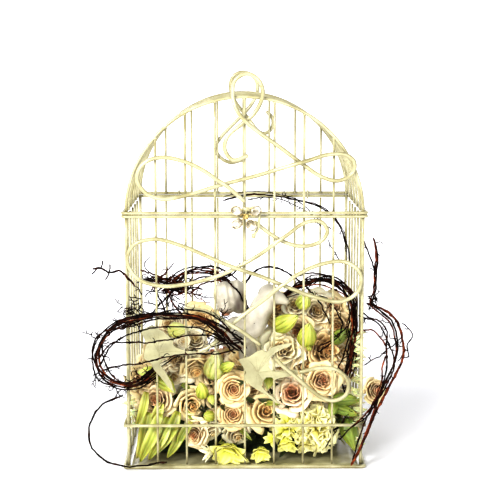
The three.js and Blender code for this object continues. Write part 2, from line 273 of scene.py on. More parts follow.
def sheet_faces(rows, cols):
    """Faces of a closed sheet: a grid of front points, a grid of back points and the rim between."""
    back = rows * cols
    faces = []
    for i in range(rows - 1):
        for j in range(cols - 1):
            a = i * cols + j
            quad = (a, a + 1, a + cols + 1, a + cols)
            faces.append(quad)
            faces.append(tuple(q + back for q in quad[::-1]))
    edge = list(range(cols))
    edge += [i * cols + cols - 1 for i in range(1, rows)]
    edge += [(rows - 1) * cols + j for j in range(cols - 2, -1, -1)]
    edge += [i * cols for i in range(rows - 2, 0, -1)]
    for a, b in zip(edge, edge[1:] + edge[:1]):
        faces.append((b, a, a + back, b + back))
    return faces


def thick_grid(clay, surface, thickness, tint):
    """A closed sheet from a grid of points, rows by columns, with its colour at each point."""
    du = np.gradient(surface, axis=1)
    dv = np.gradient(surface, axis=0)
    normal = np.cross(du, dv)
    normal /= np.maximum(np.linalg.norm(normal, axis=2, keepdims=True), 1e-9)
    front = surface + normal * (thickness / 2)
    back = surface - normal * (thickness / 2)
    points = np.concatenate([front.reshape(-1, 3), back.reshape(-1, 3)])
    tint = np.asarray(tint, float).reshape(-1, 3)
    clay.add(points, sheet_faces(*surface.shape[:2]), np.concatenate([tint, tint]))


def settled_mesh(obj):
    """The mesh an object shows once its outline or modifiers are worked out. The object is removed."""
    bpy.context.view_layer.update()
    shown = obj.evaluated_get(bpy.context.evaluated_depsgraph_get())
    mesh = bpy.data.meshes.new_from_object(shown)
    bpy.data.objects.remove(obj)
    return mesh


# ---------- materials ----------
def linear(hexcode):
    """A hex colour as linear red, green and blue."""
    out = []
    for k in (1, 3, 5):
        c = int(hexcode[k:k + 2], 16) / 255
        out.append(c / 12.92 if c <= 0.04045 else ((c + 0.055) / 1.055) ** 2.4)
    return out


class Nodes:
    """A material and short ways to add and join its nodes."""

    def __init__(self, name):
        self.material = bpy.data.materials.new(name)
        self.material.use_nodes = True
        self.tree = self.material.node_tree
        self.shader = self.tree.nodes["Principled BSDF"]

    def node(self, kind, **inputs):
        n = self.tree.nodes.new(kind)
        for key, value in inputs.items():
            n.inputs[key.replace("_", " ")].default_value = value
        return n

    def join(self, a, b):
        self.tree.links.new(a, b)

    def set(self, **inputs):
        for key, value in inputs.items():
            self.shader.inputs[key.replace("_", " ")].default_value = value

    def noise(self, scale, detail=4.0, roughness=0.55):
        place = self.node("ShaderNodeTexCoord")
        n = self.node("ShaderNodeTexNoise", Scale=scale, Detail=detail, Roughness=roughness)
        self.join(place.outputs["Object"], n.inputs["Vector"])
        return n.outputs["Fac"]

    def ramp(self, source, stops):
        r = self.node("ShaderNodeValToRGB")
        ramp = r.color_ramp
        while len(ramp.elements) < len(stops):
            ramp.elements.new(0.5)
        for element, (at, colour) in zip(ramp.elements, stops):
            element.position = at
            element.color = (*colour, 1)
        self.join(source, r.inputs["Fac"])
        return r.outputs["Color"]

    def mix(self, a, b, factor, mode="MIX"):
        m = self.node("ShaderNodeMix")
        m.data_type = "RGBA"
        m.blend_type = mode
        if isinstance(factor, float):
            m.inputs[0].default_value = factor
        else:
            self.join(factor, m.inputs[0])
        for source, socket in ((a, m.inputs[6]), (b, m.inputs[7])):
            if isinstance(source, (tuple, list)):
                socket.default_value = (*source[:3], 1)
            else:
                self.join(source, socket)
        return m.outputs[2]

    def tint(self):
        n = self.node("ShaderNodeVertexColor")
        n.layer_name = "tint"
        return n.outputs["Color"]

    def bump(self, height, strength, distance):
        b = self.node("ShaderNodeBump", Strength=strength, Distance=distance)
        self.join(height, b.inputs["Height"])
        self.join(b.outputs["Normal"], self.shader.inputs["Normal"])

    def paint_hollow_shade(self, colour, dark, distance, power=1.0):
        """Darkens a colour where surfaces come close together: painted shade in the hollows."""
        ao = self.node("ShaderNodeAmbientOcclusion", Distance=distance)
        ao.samples = 6
        curve = self.node("ShaderNodeMath")
        curve.operation = "POWER"
        self.join(ao.outputs["AO"], curve.inputs[0])
        curve.inputs[1].default_value = power
        return self.mix(dark, colour, curve.outputs[0])


def enamel_material(name, light, deep):
    """Glossy paint with painted shade in its hollows and a few worn specks."""
    m = Nodes(name)
    soft = m.ramp(m.noise(38.0), [(0.35, linear(deep)), (0.62, linear(light))])
    speck = m.ramp(m.noise(420.0, 2.0), [(0.30, (0.62, 0.55, 0.34)), (0.38, (1, 1, 1))])
    colour = m.mix(soft, speck, 0.35, "MULTIPLY")
    # Olive painted shade where wires meet and in crevices.
    shaded = m.paint_hollow_shade(colour, linear("#6f6434"), 0.006, 0.85)
    m.join(shaded, m.shader.inputs["Base Color"])
    m.set(Roughness=0.28, Coat_Weight=0.3, Coat_Roughness=0.15)
    m.bump(m.noise(260.0, 3.0), 0.12, 0.0004)
    return m.material


def plant_nodes(name, scale, stops, amount, hollow_shade, reach, power):
    """Mottled plant matter, with painted shade in its hollows. Returns its nodes and its colour without the
    painted shade.
    """
    m = Nodes(name)
    mottled = m.mix(m.tint(), m.ramp(m.noise(scale), stops), amount, "MULTIPLY")
    m.join(m.paint_hollow_shade(mottled, linear(hollow_shade), reach, power), m.shader.inputs["Base Color"])
    return m, mottled


def thin_petal(m, colour, depth, scatter, painted_glow):
    """Makes a plant material thin and soft, and gives it a faint emission glow in its own colour: painted
    light.
    """
    m.join(colour, m.shader.inputs["Emission Color"])
    m.set(Roughness=0.5, Subsurface_Weight=0.12, Subsurface_Scale=depth, Emission_Strength=painted_glow)
    m.set(Subsurface_Radius=scatter, Sheen_Weight=0.1)
    m.bump(m.noise(700.0, 5.0), 0.2, 0.0004)
    return m.material


def petal_material():
    """The petals of the roses."""
    stops = [(0.3, (0.98, 0.955, 0.82)), (0.7, (1, 0.99, 0.92))]
    # Brown painted shade deep between the petals.
    m, colour = plant_nodes("rose_petal", 90.0, stops, 1.0, "#a27a36", 0.0045, 0.8)
    # The last number is a faint painted glow.
    return thin_petal(m, colour, 0.0015, (1.0, 0.7, 0.45), 0.02)


def pale_petal_material():
    """The petals of the yellow blooms."""
    stops = [(0.3, (0.96, 0.95, 0.84)), (0.7, (1, 1, 1))]
    # Olive painted shade between the petals.
    m, colour = plant_nodes("pale_petal", 110.0, stops, 0.6, "#a08e30", 0.003, 0.6)
    # The last number is a faint painted glow.
    return thin_petal(m, colour, 0.002, (1.0, 0.85, 0.4), 0.06)


def green_material():
    """Buds, leaves and sprigs."""
    stops = [(0.32, (0.84, 0.86, 0.62)), (0.62, (1, 1, 1))]
    # Dark olive painted shade in the hollows of buds and leaves.
    m, _ = plant_nodes("green_bloom", 150.0, stops, 0.6, "#565a16", 0.005, 0.75)
    m.set(Roughness=0.42, Subsurface_Weight=0.2, Subsurface_Scale=0.003)
    m.bump(m.noise(500.0, 5.0), 0.3, 0.0004)
    return m.material


def bark_material(name, dark, middle, light):
    """Dry bark in three browns, times each twig's own tint."""
    m = Nodes(name)
    stops = [(0.34, linear(dark)), (0.52, linear(middle)), (0.76, linear(light))]
    colour = m.ramp(m.noise(120.0, 6.0), stops)
    m.join(m.mix(colour, m.tint(), 0.85, "MULTIPLY"), m.shader.inputs["Base Color"])
    m.set(Roughness=0.8, Specular_IOR_Level=0.08)
    m.bump(m.noise(900.0, 6.0), 0.6, 0.0006)
    return m.material


def dove_material():
    """Glazed off-white, times the figure's own tint, which holds its marks and some painted shade, and darker
    in its hollows: painted shade.
    """
    m = Nodes("white_dove")
    colour = m.ramp(m.noise(60.0, 5.0), [(0.3, linear("#b5ae9c")), (0.6, linear("#d2ccbd"))])
    marked_and_shaded = m.mix(colour, m.tint(), 1.0, "MULTIPLY")
    # Grey-brown painted shade in the hollows.
    m.join(m.paint_hollow_shade(marked_and_shaded, linear("#6b6253"), 0.010, 0.8), m.shader.inputs["Base Color"])
    m.set(Roughness=0.5, Coat_Weight=0.1)
    m.bump(m.noise(420.0, 4.0), 0.2, 0.0006)
    return m.material


def crystal_material():
    """Cut glass, clouded in places."""
    m = Nodes("crystal")
    stops = [(0.36, linear("#8f8468")), (0.50, linear("#d5ccb4")), (0.62, (0.98, 0.98, 0.96))]
    m.join(m.ramp(m.noise(160.0, 2.0), stops), m.shader.inputs["Base Color"])
    m.set(Roughness=0.06, Transmission_Weight=0.6, IOR=1.55)
    m.bump(m.noise(300.0, 2.0), 0.25, 0.0008)
    return m.material


def gold_material():
    """Worn gold-coloured metal."""
    m = Nodes("gold_metal")
    colour = m.ramp(m.noise(220.0, 4.0), [(0.35, linear("#8a7440")), (0.65, linear("#ddc98e"))])
    m.join(colour, m.shader.inputs["Base Color"])
    m.set(Roughness=0.28, Metallic=1.0)
    m.bump(m.noise(700.0, 3.0), 0.2, 0.0003)
    return m.material


def foam_material():
    """Dark green foam with coarse pores."""
    m = Nodes("floral_foam")
    colour = m.ramp(m.noise(140.0, 6.0), [(0.35, linear("#10160a")), (0.65, linear("#2f3d1c"))])
    m.join(colour, m.shader.inputs["Base Color"])
    m.set(Roughness=0.95)
    m.bump(m.noise(900.0, 6.0), 0.8, 0.002)
    return m.material


ENAMEL = enamel_material("ivory_enamel", "#beb997", "#968f67")
ENAMEL_PALE = enamel_material("ivory_enamel_sheet", "#b0ac88", "#979270")
PETAL = petal_material()
GREEN = green_material()
PALE_PETAL = pale_petal_material()
BARK = bark_material("dry_vine", "#060302", "#1a0d08", "#4c2617")
BARK_WARM = bark_material("dry_vine_ruddy", "#1e0c06", "#502413", "#a05a30")
DOVE = dove_material()
CRYSTAL = crystal_material()
GOLD = gold_material()
FOAM = foam_material()


# ---------- cage wires ----------
def ring_path(half_x, half_y, z, bend=3.6):
    """A level rectangle with rounded corners."""
    out = []
    for sx, sy, quarter in ((1, 1, 0), (-1, 1, 1), (-1, -1, 2), (1, -1, 3)):
        for k in range(7):
            a = (quarter + k / 6) * math.pi / 2
            x = sx * (half_x - bend) + bend * math.cos(a)
            y = sy * (half_y - bend) + bend * math.sin(a)
            out.append((x, y, z))
    return out


def weld_bead(clay, x, y, z, size):
    """A small bead of weld under the paint."""
    blob(clay, (x, y, z), (size, size, size * 0.8), wide=10, high=6)


def wire_piece(name, body, draw):
    """One painted part that replaces its modelled node."""
    clay = Clay()
    draw(clay)
    clay.build(name + "_wire", ENAMEL, body, [name])


def base_rim(clay):
    """The ring that stands on the table."""
    tube(clay, ring_path(RIM_X + 0.5, RIM_Y + 0.5, FOOT), FOOT, 14, closed=True)


def floor_panel(clay):
    """The thin painted sheet inside the base rim."""
    x = HALF_W - STOUT - 0.7
    y = HALF_D - STOUT - 0.7
    rows = []
    for v in np.linspace(-y, y, 25):
        rows.append([(u, v, FLOOR_THICK / 2) for u in np.linspace(-x, x, 31)])
    thick_grid(clay, np.array(rows), FLOOR_THICK, np.ones((25, 31, 3)))


def post(sx, sy):
    """A corner post."""
    def draw(clay):
        x = sx * HALF_W
        y = sy * HALF_D
        straight(clay, (x, y, 0.3), (x, y, BODY_TOP + STOUT), STOUT)
    return draw


def wide_panel(side):
    """The grille of the front or back: seven uprights on a cross rail."""
    def draw(clay):
        y = side * (HALF_D + FILL_OUT)
        for k in range(-3, 4):
            x = k * PITCH
            straight(clay, (x, y, 2 * FOOT + GAP), (x, y, BODY_TOP - STOUT - GAP), THIN)
            weld_bead(clay, x, side * (RIM_Y - 1.3), RAIL_Z, 1.7)
        straight(clay, (-RIM_X - 1, side * RIM_Y, RAIL_Z), (RIM_X + 1, side * RIM_Y, RAIL_Z), STOUT)
    return draw


def side_panel(side):
    """The grille of the left or right: five uprights on a cross rail."""
    def draw(clay):
        x = side * (HALF_W + FILL_OUT)
        for k in range(-2, 3):
            y = k * PITCH
            straight(clay, (x, y, 2 * FOOT + GAP), (x, y, BODY_TOP - STOUT - GAP), THIN)
            weld_bead(clay, side * (RIM_X - 1.3), y, RAIL_Z, 1.7)
        reach = RIM_Y - STOUT - GAP
        straight(clay, (side * RIM_X, -reach, RAIL_Z), (side * RIM_X, reach, RAIL_Z), STOUT)
    return draw


def rim(z):
    """The ring round the top of the body, or the one under the lid."""
    def draw(clay):
        tube(clay, ring_path(RIM_X, RIM_Y, z), STOUT, 14, closed=True)
    return draw


def arch_path(y):
    """The half ellipse that every arch and hoop of the lid follows."""
    out = []
    for k in range(61):
        a = math.pi * (1 - k / 60)
        out.append((HALF_W * math.cos(a), y, LID_BASE - 0.8 + (LID_RISE + 0.8) * math.sin(a)))
    return out


def end_arch(side):
    """The front or back arch of the lid with its seven uprights."""
    def draw(clay):
        y = side * HALF_D
        tube(clay, arch_path(y), STOUT, 14)
        for k in range(-3, 4):
            x = k * PITCH
            top = LID_BASE + LID_RISE * math.sqrt(1 - (x / HALF_W) ** 2)
            straight(clay, (x, y + side * 0.4, LID_BASE - 1.2), (x, y + side * 0.4, top), THIN)
            weld_bead(clay, x, y + side * 0.3, top - 2.0, 1.9)
    return draw


def hoop(k):
    """A plain hoop, k wire spaces from the middle."""
    def draw(clay):
        tube(clay, arch_path(k * PITCH), THIN, 10)
    return draw


def hinge_link(x):
    """A wire link round both rear rims."""
    def draw(clay):
        wire = 0.9
        room = STOUT + 0.4 + wire
        loop = []
        for k in range(13):
            a = math.pi * (k - 0.6) / 12
            loop.append((x, RIM_Y + room * math.cos(a), LID_BASE + room * math.sin(a)))
        for k in range(13):
            a = math.pi + math.pi * (k + 0.6) / 12
            loop.append((x, RIM_Y + room * math.cos(a), BODY_TOP + room * math.sin(a)))
        tube(clay, loop, wire, 10)
    return draw


# Each row is x, height above the rim, and how many wire steps the wire stands forward there.
LID_SCROLL = [
    (3, 64, 0), (-13, 59, 0), (-22, 71, 0), (-19, 85, 0), (-3, 99, 0), (11, 111, 0), (20, 132, 0),
    (15, 147, 0), (2, 154, 0), (-11, 146, 0), (-13, 129, 0), (-8, 113, 0.8), (2, 101, 1.1),
    (14, 91, 0.5), (35, 76, 0), (62, 56, 0), (84, 41, 0), (103, 36, 0), (119, 44, 0), (121, 57, 0),
    (111, 65, 0), (91, 65, 0.4), (70, 59, 1.1), (56, 55, 1.1), (40, 50, 0.4), (14, 42, 0),
    (-28, 31, 0), (-65, 20, 0), (-92, 16, 0), (-111, 24, 0), (-119, 40, 0), (-112, 55, 0),
    (-94, 62, 0), (-68, 58, 0), (-46, 48, 0.4), (-31, 38, 1.1), (-20, 31, 1.1), (-10, 22, 0.4), (0, 13, 0),
]
BACK_LID_SCROLL = [
    (-2, 42, 0), (-16, 39, 0), (-29, 45, 0), (-36, 58, 0), (-28, 72, 0), (-14, 87, 0), (1, 102, 0),
    (12, 116, 0), (18, 130, 0), (17, 142, 0), (10, 151, 0), (0, 154, 0), (-10, 151, 0),
    (-16, 141, 0), (-15, 127, 0), (-8, 113, 0.8), (1, 102, 1.1), (10, 90, 0.8), (18, 80, 0),
    (26, 76, 0), (34, 80, 0), (38, 88, 0), (37, 96, 0), (30, 104, 0),
]
BODY_SCROLL = [
    (11, -6, 0), (28, -19, 0), (43, -28, 0), (60, -33, 0), (75, -32, 0), (87, -26, 0), (92, -16, 0),
    (85, -6, 0), (74, -5, 0), (62, -9, 0.4), (48, -19, 1.1), (34, -29, 1.1), (20, -40, 0.4),
    (-1, -53, 0), (-23, -64, 0), (-44, -71, 0), (-66, -76, 0), (-93, -78, 0), (-120, -69, 0),
    (-131, -49, 0), (-124, -32, 0), (-100, -25, 0), (-69, -33, 0), (-40, -45, 0.3), (-20, -53, 1.1),
    (-1, -60, 1.1), (18, -67, 0.3), (44, -78, 0), (76, -90, 0), (108, -96, 0), (127, -84, 0),
    (129, -64, 0), (112, -51, 0), (84, -54, 0), (60, -64, 0.6), (49, -71, 1.1), (34, -82, 1.1),
    (18, -96, 0.3), (1, -109, 0), (-12, -120, 0), (-31, -140, 0), (-43, -149, 0), (-52, -153, 0),
]
UPPER_RIBBON = [
    (-67, -103, 0), (-47, -106, 0), (-30, -112, 0.7), (-16, -121, 1.1), (-3, -129, 0.8), (9, -139, 0),
    (17, -145, 0),
]
LOWER_RIBBON = [
    (62, -177, 0), (79, -173, 0), (94, -172, 0), (105, -175, 0), (113, -182, 0), (117, -191, 0),
    (115, -202, 0), (108, -208, 0), (98, -210, 0), (88, -207, 0), (77, -199, 0.3), (64, -187, 1),
    (53, -177, 1.1), (42, -168, 1.1), (35, -160, 1.1),
]


def scroll(rows, z, face=1):
    """A bent wire through the rows of a table, measured from the height z."""
    def draw(clay):
        points = [(x, face * (SCROLL_Y - out * STEP_OUT), z + up) for x, up, out in rows]
        tube(clay, smooth_path(points, 3), SCROLL, 16)
    return draw


def add_wires():
    for name, draw in (
        ("base_rim", base_rim), ("floor_panel", floor_panel),
        ("post_front_left", post(-1, -1)), ("post_front_right", post(1, -1)),
        ("post_back_left", post(-1, 1)), ("post_back_right", post(1, 1)),
        ("front_panel", wide_panel(-1)), ("back_panel", wide_panel(1)),
        ("left_panel", side_panel(-1)), ("right_panel", side_panel(1)),
        ("body_rim", rim(BODY_TOP)), ("body_scroll", scroll(BODY_SCROLL, BODY_TOP)),
        ("ribbon_upper", scroll(UPPER_RIBBON, BODY_TOP)), ("ribbon_lower", scroll(LOWER_RIBBON, BODY_TOP)),
    ):
        wire_piece(name, "cage", draw)
    for name, draw in (
        ("lid_rim", rim(LID_BASE)), ("lid_front_arch", end_arch(-1)), ("lid_back_arch", end_arch(1)),
        ("lid_scroll_front", scroll(LID_SCROLL, LID_BASE)),
        ("lid_scroll_back", scroll(BACK_LID_SCROLL, LID_BASE, -1)),
        ("hinge_link_left", hinge_link(-2.5 * PITCH)), ("hinge_link_right", hinge_link(2.5 * PITCH)),
    ):
        wire_piece(name, "lid", draw)
    for k in range(-2, 3):
        wire_piece(f"lid_hoop_{k + 3}", "lid", hoop(k))


# ---------- sheet doves ----------
RIGHT_DOVE = [
    (-7, 127), (6, 131), (13, 136), (20, 139), (22, 136), (25, 136), (30, 141), (44, 145), (54, 146),
    (49, 142), (41, 139), (34, 135), (29, 131), (27, 125), (26, 119), (29, 115), (34, 113), (43, 114),
    (59, 115), (60, 110), (51, 108), (39, 106), (34, 104), (30, 107), (24, 107), (20, 102), (19, 96),
    (25, 89), (32, 83), (41, 75), (34, 78), (25, 86), (15, 92), (6, 98), (0, 104), (-1, 108),
    (2, 112), (0, 116), (-3, 121),
]
LEFT_DOVE = [
    (-116, 161), (-104, 167), (-92, 160), (-80, 149), (-81, 146), (-79, 142), (-74, 140), (-65, 137),
    (-55, 137), (-55, 132), (-66, 133), (-79, 132), (-87, 131), (-95, 126), (-95, 121), (-89, 112),
    (-83, 101), (-80, 90), (-88, 98), (-95, 108), (-102, 116), (-105, 123), (-109, 126),
    (-113, 129), (-113, 136), (-110, 145),
]


def sheet_dove(name, outline, root, tips):
    """A flat dove with soft edges and pressed feather lines that fan out from a root point."""
    curve = bpy.data.curves.new(name, "CURVE")
    curve.dimensions = "2D"
    curve.fill_mode = "BOTH"
    spline = curve.splines.new("POLY")
    spline.points.add(len(outline) - 1)
    for p, (x, z) in zip(spline.points, outline):
        p.co = (x * MM, z * MM, 0, 1)
    spline.use_cyclic_u = True
    curve.extrude = 0.0005
    curve.bevel_depth = 0.0003
    curve.bevel_resolution = 2
    temp = bpy.data.objects.new(name, curve)
    bpy.context.scene.collection.objects.link(temp)
    flat = settled_mesh(temp)
    clay = Clay()
    co = np.array([v.co for v in flat.vertices]) / MM
    points = np.stack([co[:, 0], SCROLL_Y - co[:, 2], co[:, 1]], axis=1)
    clay.add(points, [tuple(p.vertices) for p in flat.polygons])
    for tip in tips:
        groove = []
        for k in range(9):
            t = k / 8
            x = root[0] + (tip[0] - root[0]) * t
            z = root[1] + (tip[1] - root[1]) * t + 2.0 * math.sin(math.pi * t)
            groove.append((x, SCROLL_Y - 0.75, z))
        tube(clay, groove, np.linspace(0.45, 0.15, 9), 6)
    clay.build(name + "_pressed", ENAMEL_PALE, "cage", [name], smooth=False)


def add_sheet_doves():
    sheet_dove("sheet_dove_right", RIGHT_DOVE, (14, 112), [
        (43, 143), (33, 138), (24, 132), (12, 131), (3, 127), (12, 96), (19, 92), (25, 87), (33, 80),
        (52, 111), (44, 112),
    ])
    sheet_dove("sheet_dove_left", LEFT_DOVE, (-97, 135), [
        (-110, 158), (-104, 162), (-97, 160), (-88, 152), (-90, 105), (-85, 100), (-96, 112), (-62, 135),
    ])


# ---------- latch ----------
LATCH_X = 3
PIN_Y = -(RIM_Y + STOUT + GAP + 2.6)
PIN_Z = LID_BASE + 4.7
HOOK_Y = PIN_Y - 4.6
PLATE_X = 1
PLATE_Y = PIN_Y - 5.2
PLATE_Z = LID_BASE - 2.6
# Each crystal petal's name, and how far its middle is from the plate's, across and up.
CRYSTALS = (
    ("upper_left", -10, 6.5), ("upper_right", 11, 6.5), ("lower_left", -9.5, -7.5), ("lower_right", 6, -9.5),
)


def staple_shape(clay):
    """The small bent wire on the lid rim that the hook hangs in."""
    left = LATCH_X - 6.5
    right = LATCH_X + 6.5
    foot_y = -RIM_Y - 1.7
    foot_z = LID_BASE + 1.6
    path = [(left, foot_y, foot_z), (left, PIN_Y, PIN_Z), (right, PIN_Y, PIN_Z), (right, foot_y, foot_z)]
    for a, b in zip(path, path[1:]):
        straight(clay, a, b, 0.9, 10)
    for corner in path[1:3]:
        blob(clay, corner, (0.95, 0.95, 0.95), wide=10, high=6)


def hook_shape(clay):
    """A sleeve round the pin, a bent wire with a bulb at its end, and a stem for the plate."""
    profile = [(-4.6, 1.2), (-4.6, 2.3), (-4.2, 2.6), (4.2, 2.6), (4.6, 2.3), (4.6, 1.2)]
    sides = 24
    points = []
    for dx, reach in profile:
        for k in range(sides):
            a = 2 * math.pi * k / sides
            points.append((LATCH_X + dx, PIN_Y + reach * math.cos(a), PIN_Z + reach * math.sin(a)))
    clay.add(points, ring_faces(len(profile), len(profile), sides))
    hook = smooth_path([
        (5, PIN_Y - 1.9, PIN_Z + 0.6), (9, PIN_Y - 3.4, PIN_Z + 2.4), (13, HOOK_Y, PIN_Z - 0.5),
        (16, HOOK_Y, PIN_Z - 6), (15.5, HOOK_Y, PIN_Z - 14), (14, HOOK_Y, PIN_Z - 22),
        (10, HOOK_Y + 0.4, PIN_Z - 28),
    ], 1)
    tube(clay, hook, 1.5, 14)
    blob(clay, (9.6, HOOK_Y + 0.4, PIN_Z - 29), (2.5, 2.4, 2.8), wide=16, high=12)
    straight(clay, (1.5, PIN_Y - 1.6, PIN_Z - 1), (1, PIN_Y - 2.8, PIN_Z - 9), 1.1)


def gold_plate(clay):
    """A round plate with a ring of beads."""
    blob(clay, (PLATE_X, PLATE_Y, PLATE_Z), (3.4, 0.8, 3.4), wide=20, high=12)
    for k in range(8):
        a = 2 * math.pi * k / 8
        bead = (PLATE_X + 2.5 * math.cos(a), PLATE_Y - 0.7, PLATE_Z + 2.5 * math.sin(a))
        blob(clay, bead, (0.55, 0.5, 0.55), wide=8, high=6)


def crystal_mount(clay, dx, dz):
    """A thin gold loop round one crystal petal, and the pin that holds it to the plate."""
    a = math.atan2(dz, dx)
    loop = []
    for k in range(24):
        b = 2 * math.pi * k / 24
        along = 6.7 * math.cos(b)
        across = 5.1 * math.sin(b)
        x = PLATE_X + dx + along * math.cos(a) - across * math.sin(a)
        z = PLATE_Z + dz + along * math.sin(a) + across * math.cos(a)
        loop.append((x, PLATE_Y - 3.2, z))
    tube(clay, loop, 0.28, 8, closed=True)
    near = 1 - 6.3 / math.hypot(dx, dz)
    tip = (PLATE_X + dx * near, PLATE_Y - 3.0, PLATE_Z + dz * near)
    straight(clay, (PLATE_X, PLATE_Y, PLATE_Z), tip, 0.5, 8)


def crystal_petal(name, dx, dz):
    """One cut petal that points away from the plate."""
    clay = Clay()
    a = math.atan2(dz, dx)
    turn = np.array([[math.cos(a), 0, -math.sin(a)], [0, 1, 0], [math.sin(a), 0, math.cos(a)]])
    blob(clay, (PLATE_X + dx, PLATE_Y - 3.5, PLATE_Z + dz), (6.5, 2.4, 4.9), wide=8, high=6, turn=turn)
    clay.build(name + "_cut", CRYSTAL, "latch", [name], smooth=False)


def add_latch():
    wire_piece("latch_staple", "lid", staple_shape)
    wire_piece("latch_hook", "latch", hook_shape)
    clay = Clay()
    gold_plate(clay)
    for _, dx, dz in CRYSTALS:
        crystal_mount(clay, dx, dz)
    clay.build("latch_plate_gold", GOLD, "latch", ["latch_plate"])
    for where, dx, dz in CRYSTALS:
        crystal_petal(f"crystal_petal_{where}", dx, dz)


# ---------- flowers ----------
GOLDEN_ANGLE = 2.39996


def shade(stops, t):
    """A colour between the given hex stops, with t from 0 to 1, as an array."""
    cols = np.array([linear(s) for s in stops])
    x = np.clip(np.asarray(t, float), 0, 1) * (len(stops) - 1)
    i = np.minimum(x.astype(int), len(stops) - 2)
    f = (x - i)[..., None]
    return cols[i] * (1 - f) + cols[i + 1] * f


def rose(clay, centre, size, facing, colours, petals=16, ruffle=0.03, openness=1.0, seed=0, cols=11,
         rows=9, painted_shade_factor=1.0):
    """A rose head: a tight spiral heart, with broad petals curling back round it."""
    r = random.Random(seed)
    turn = turn_to(facing)
    u = np.linspace(-1, 1, cols)[None, :]
    v = np.linspace(0, 1, rows)[:, None]
    start = r.uniform(0, 6.28)
    for i in range(petals):
        t = i / (petals - 1)
        angle = start + i * GOLDEN_ANGLE + r.uniform(-0.25, 0.25)
        rim_r = size * (0.07 + 0.86 * t ** 1.35 * openness) * r.uniform(0.94, 1.06)
        rim_z = size * (0.46 - 0.40 * t ** 2.2) + size * r.uniform(-0.05, 0.05)
        base_z = -size * 0.62
        width = 2.0 - 1.0 * t ** 0.8
        belly = np.sin(np.pi / 2 * np.clip(v * 1.15, 0, 1)) ** 0.6
        radius = rim_r * (0.24 + 0.76 * belly)
        height = base_z + (rim_z - base_z) * v ** (1.05 + 0.35 * t)
        curl = np.clip((v - 0.60) / 0.40, 0, 1) ** 1.7
        radius = radius + size * 0.34 * t ** 1.3 * curl
        height = height - size * 0.22 * t ** 1.5 * curl
        half = width * np.sin(np.pi * np.clip(0.12 + 0.56 * v, 0, 1)) ** 0.6
        theta = angle + u * half
        point = np.exp(-(u / 0.22) ** 2) * np.clip((v - 0.8) / 0.2, 0, 1)
        height = height - size * 0.18 * np.abs(u) ** 2.2 * v ** 2 * (0.5 + t)
        lean = size * 0.07 * u * (1 - 0.5 * t)
        wave = r.uniform(0, 6.28)
        ripple = ruffle * size * v ** 3 * np.sin(u * math.pi * r.uniform(1.4, 2.8) + wave)
        radius = np.maximum(radius + lean + ripple + point * size * 0.07 * t, 0.02 * size) + 0 * u
        height = height + ripple * 0.8 + 0 * u
        surface = np.stack([radius * np.cos(theta), radius * np.sin(theta), height], axis=2)
        surface = surface @ turn.T + np.asarray(centre, float)
        # Inner petals and the bases of petals take the darker stops: partly the rose's own deeper heart
        # colour, partly painted shade.
        level = np.clip(1.3 * t ** 0.75 + 0.25 * (v - 0.75) + 0.10 * np.abs(u) ** 3 + 0 * u, 0, 1)
        # A rose set deep among the others can be darkened as a whole: painted shade.
        tint = shade(colours, level) * r.uniform(0.96, 1.03) * painted_shade_factor
        thick_grid(clay, surface, 0.4, tint)


def pom(clay, centre, size, facing, colours, petals=44, seed=0):
    """A full ruffled bloom with no open heart: wavy petals that fan out over a dome."""
    r = random.Random(seed)
    turn = turn_to(facing)
    u = np.linspace(-1, 1, 11)[None, :, None]
    v = np.linspace(0, 1, 7)[:, None, None]
    for i in range(petals):
        slope = 1.45 * math.sqrt((i + 0.5) / petals)
        angle = i * GOLDEN_ANGLE
        flat = math.sin(slope)
        out = np.array([flat * math.cos(angle), flat * math.sin(angle), math.cos(slope)])
        spin = r.uniform(0, 6.28)
        side = unit(np.cross(out, [math.cos(spin), math.sin(spin), 0.3]))
        up = np.cross(out, side)
        reach = size * r.uniform(0.82, 1.05)
        wide = size * r.uniform(0.4, 0.54)
        wave = wide * 0.28 * np.sin(u * math.pi * r.uniform(1.5, 2.6) + r.uniform(0, 6)) * v ** 2
        cup = wide * r.uniform(0.3, 0.7) * (u ** 2) * v
        flop = size * r.uniform(0.05, 0.22) * v ** 3
        edge = 1 - 0.10 * np.abs(u) ** 2
        surface = out * (reach * (0.15 + 0.85 * v) * edge) + side * (u * wide * (0.35 + 0.65 * v))
        surface = surface + up * (wave + cup + flop)
        surface = surface * np.array([1, 1, 0.8]) @ turn.T + np.asarray(centre, float)
        level = 0.2 + 0.8 * v[:, :, 0] ** 1.4 + 0.05 * np.cos(u[:, :, 0] * math.pi * 4)
        thick_grid(clay, surface, 0.35, shade(colours, level) * r.uniform(0.94, 1.04))


def bud(clay, centre, length, width, facing, colours, petals=6, seed=0, gape=0.0):
    """A closed pointed bud of overlapping ribbed sepals."""
    r = random.Random(seed)
    turn = turn_to(facing)
    u = np.linspace(-1, 1, 13)[None, :]
    v = np.linspace(0, 1, 12)[:, None]
    for i in range(petals):
        angle = i * 4 * math.pi / petals + (i // (petals // 2)) * math.pi / petals + r.uniform(-0.1, 0.1)
        out = 1 + 0.07 * (i % 2)
        belly = 2.05 * (v + 0.02) ** 0.55 * (1.03 - v) ** 1.05
        radius = width * out * (belly + gape * v ** 2)
        fold = width * 0.07 * np.cos(u * math.pi * 3) * belly
        theta = angle + u * 1.2 * (1 - 0.35 * v ** 2)
        height = length * (v - 0.5) - length * 0.12 * np.abs(u) ** 1.5 * v ** 3
        radius = radius + fold
        surface = np.stack([radius * np.cos(theta), radius * np.sin(theta), height + 0 * u], axis=2)
        surface = surface @ turn.T + np.asarray(centre, float)
        vein = 0.10 * np.cos(u * math.pi * 3)
        tint = shade(colours, 0.35 + 0.45 * v + vein - 0.2 * np.abs(u) ** 2)
        thick_grid(clay, surface, 0.4, tint * r.uniform(0.93, 1.05))


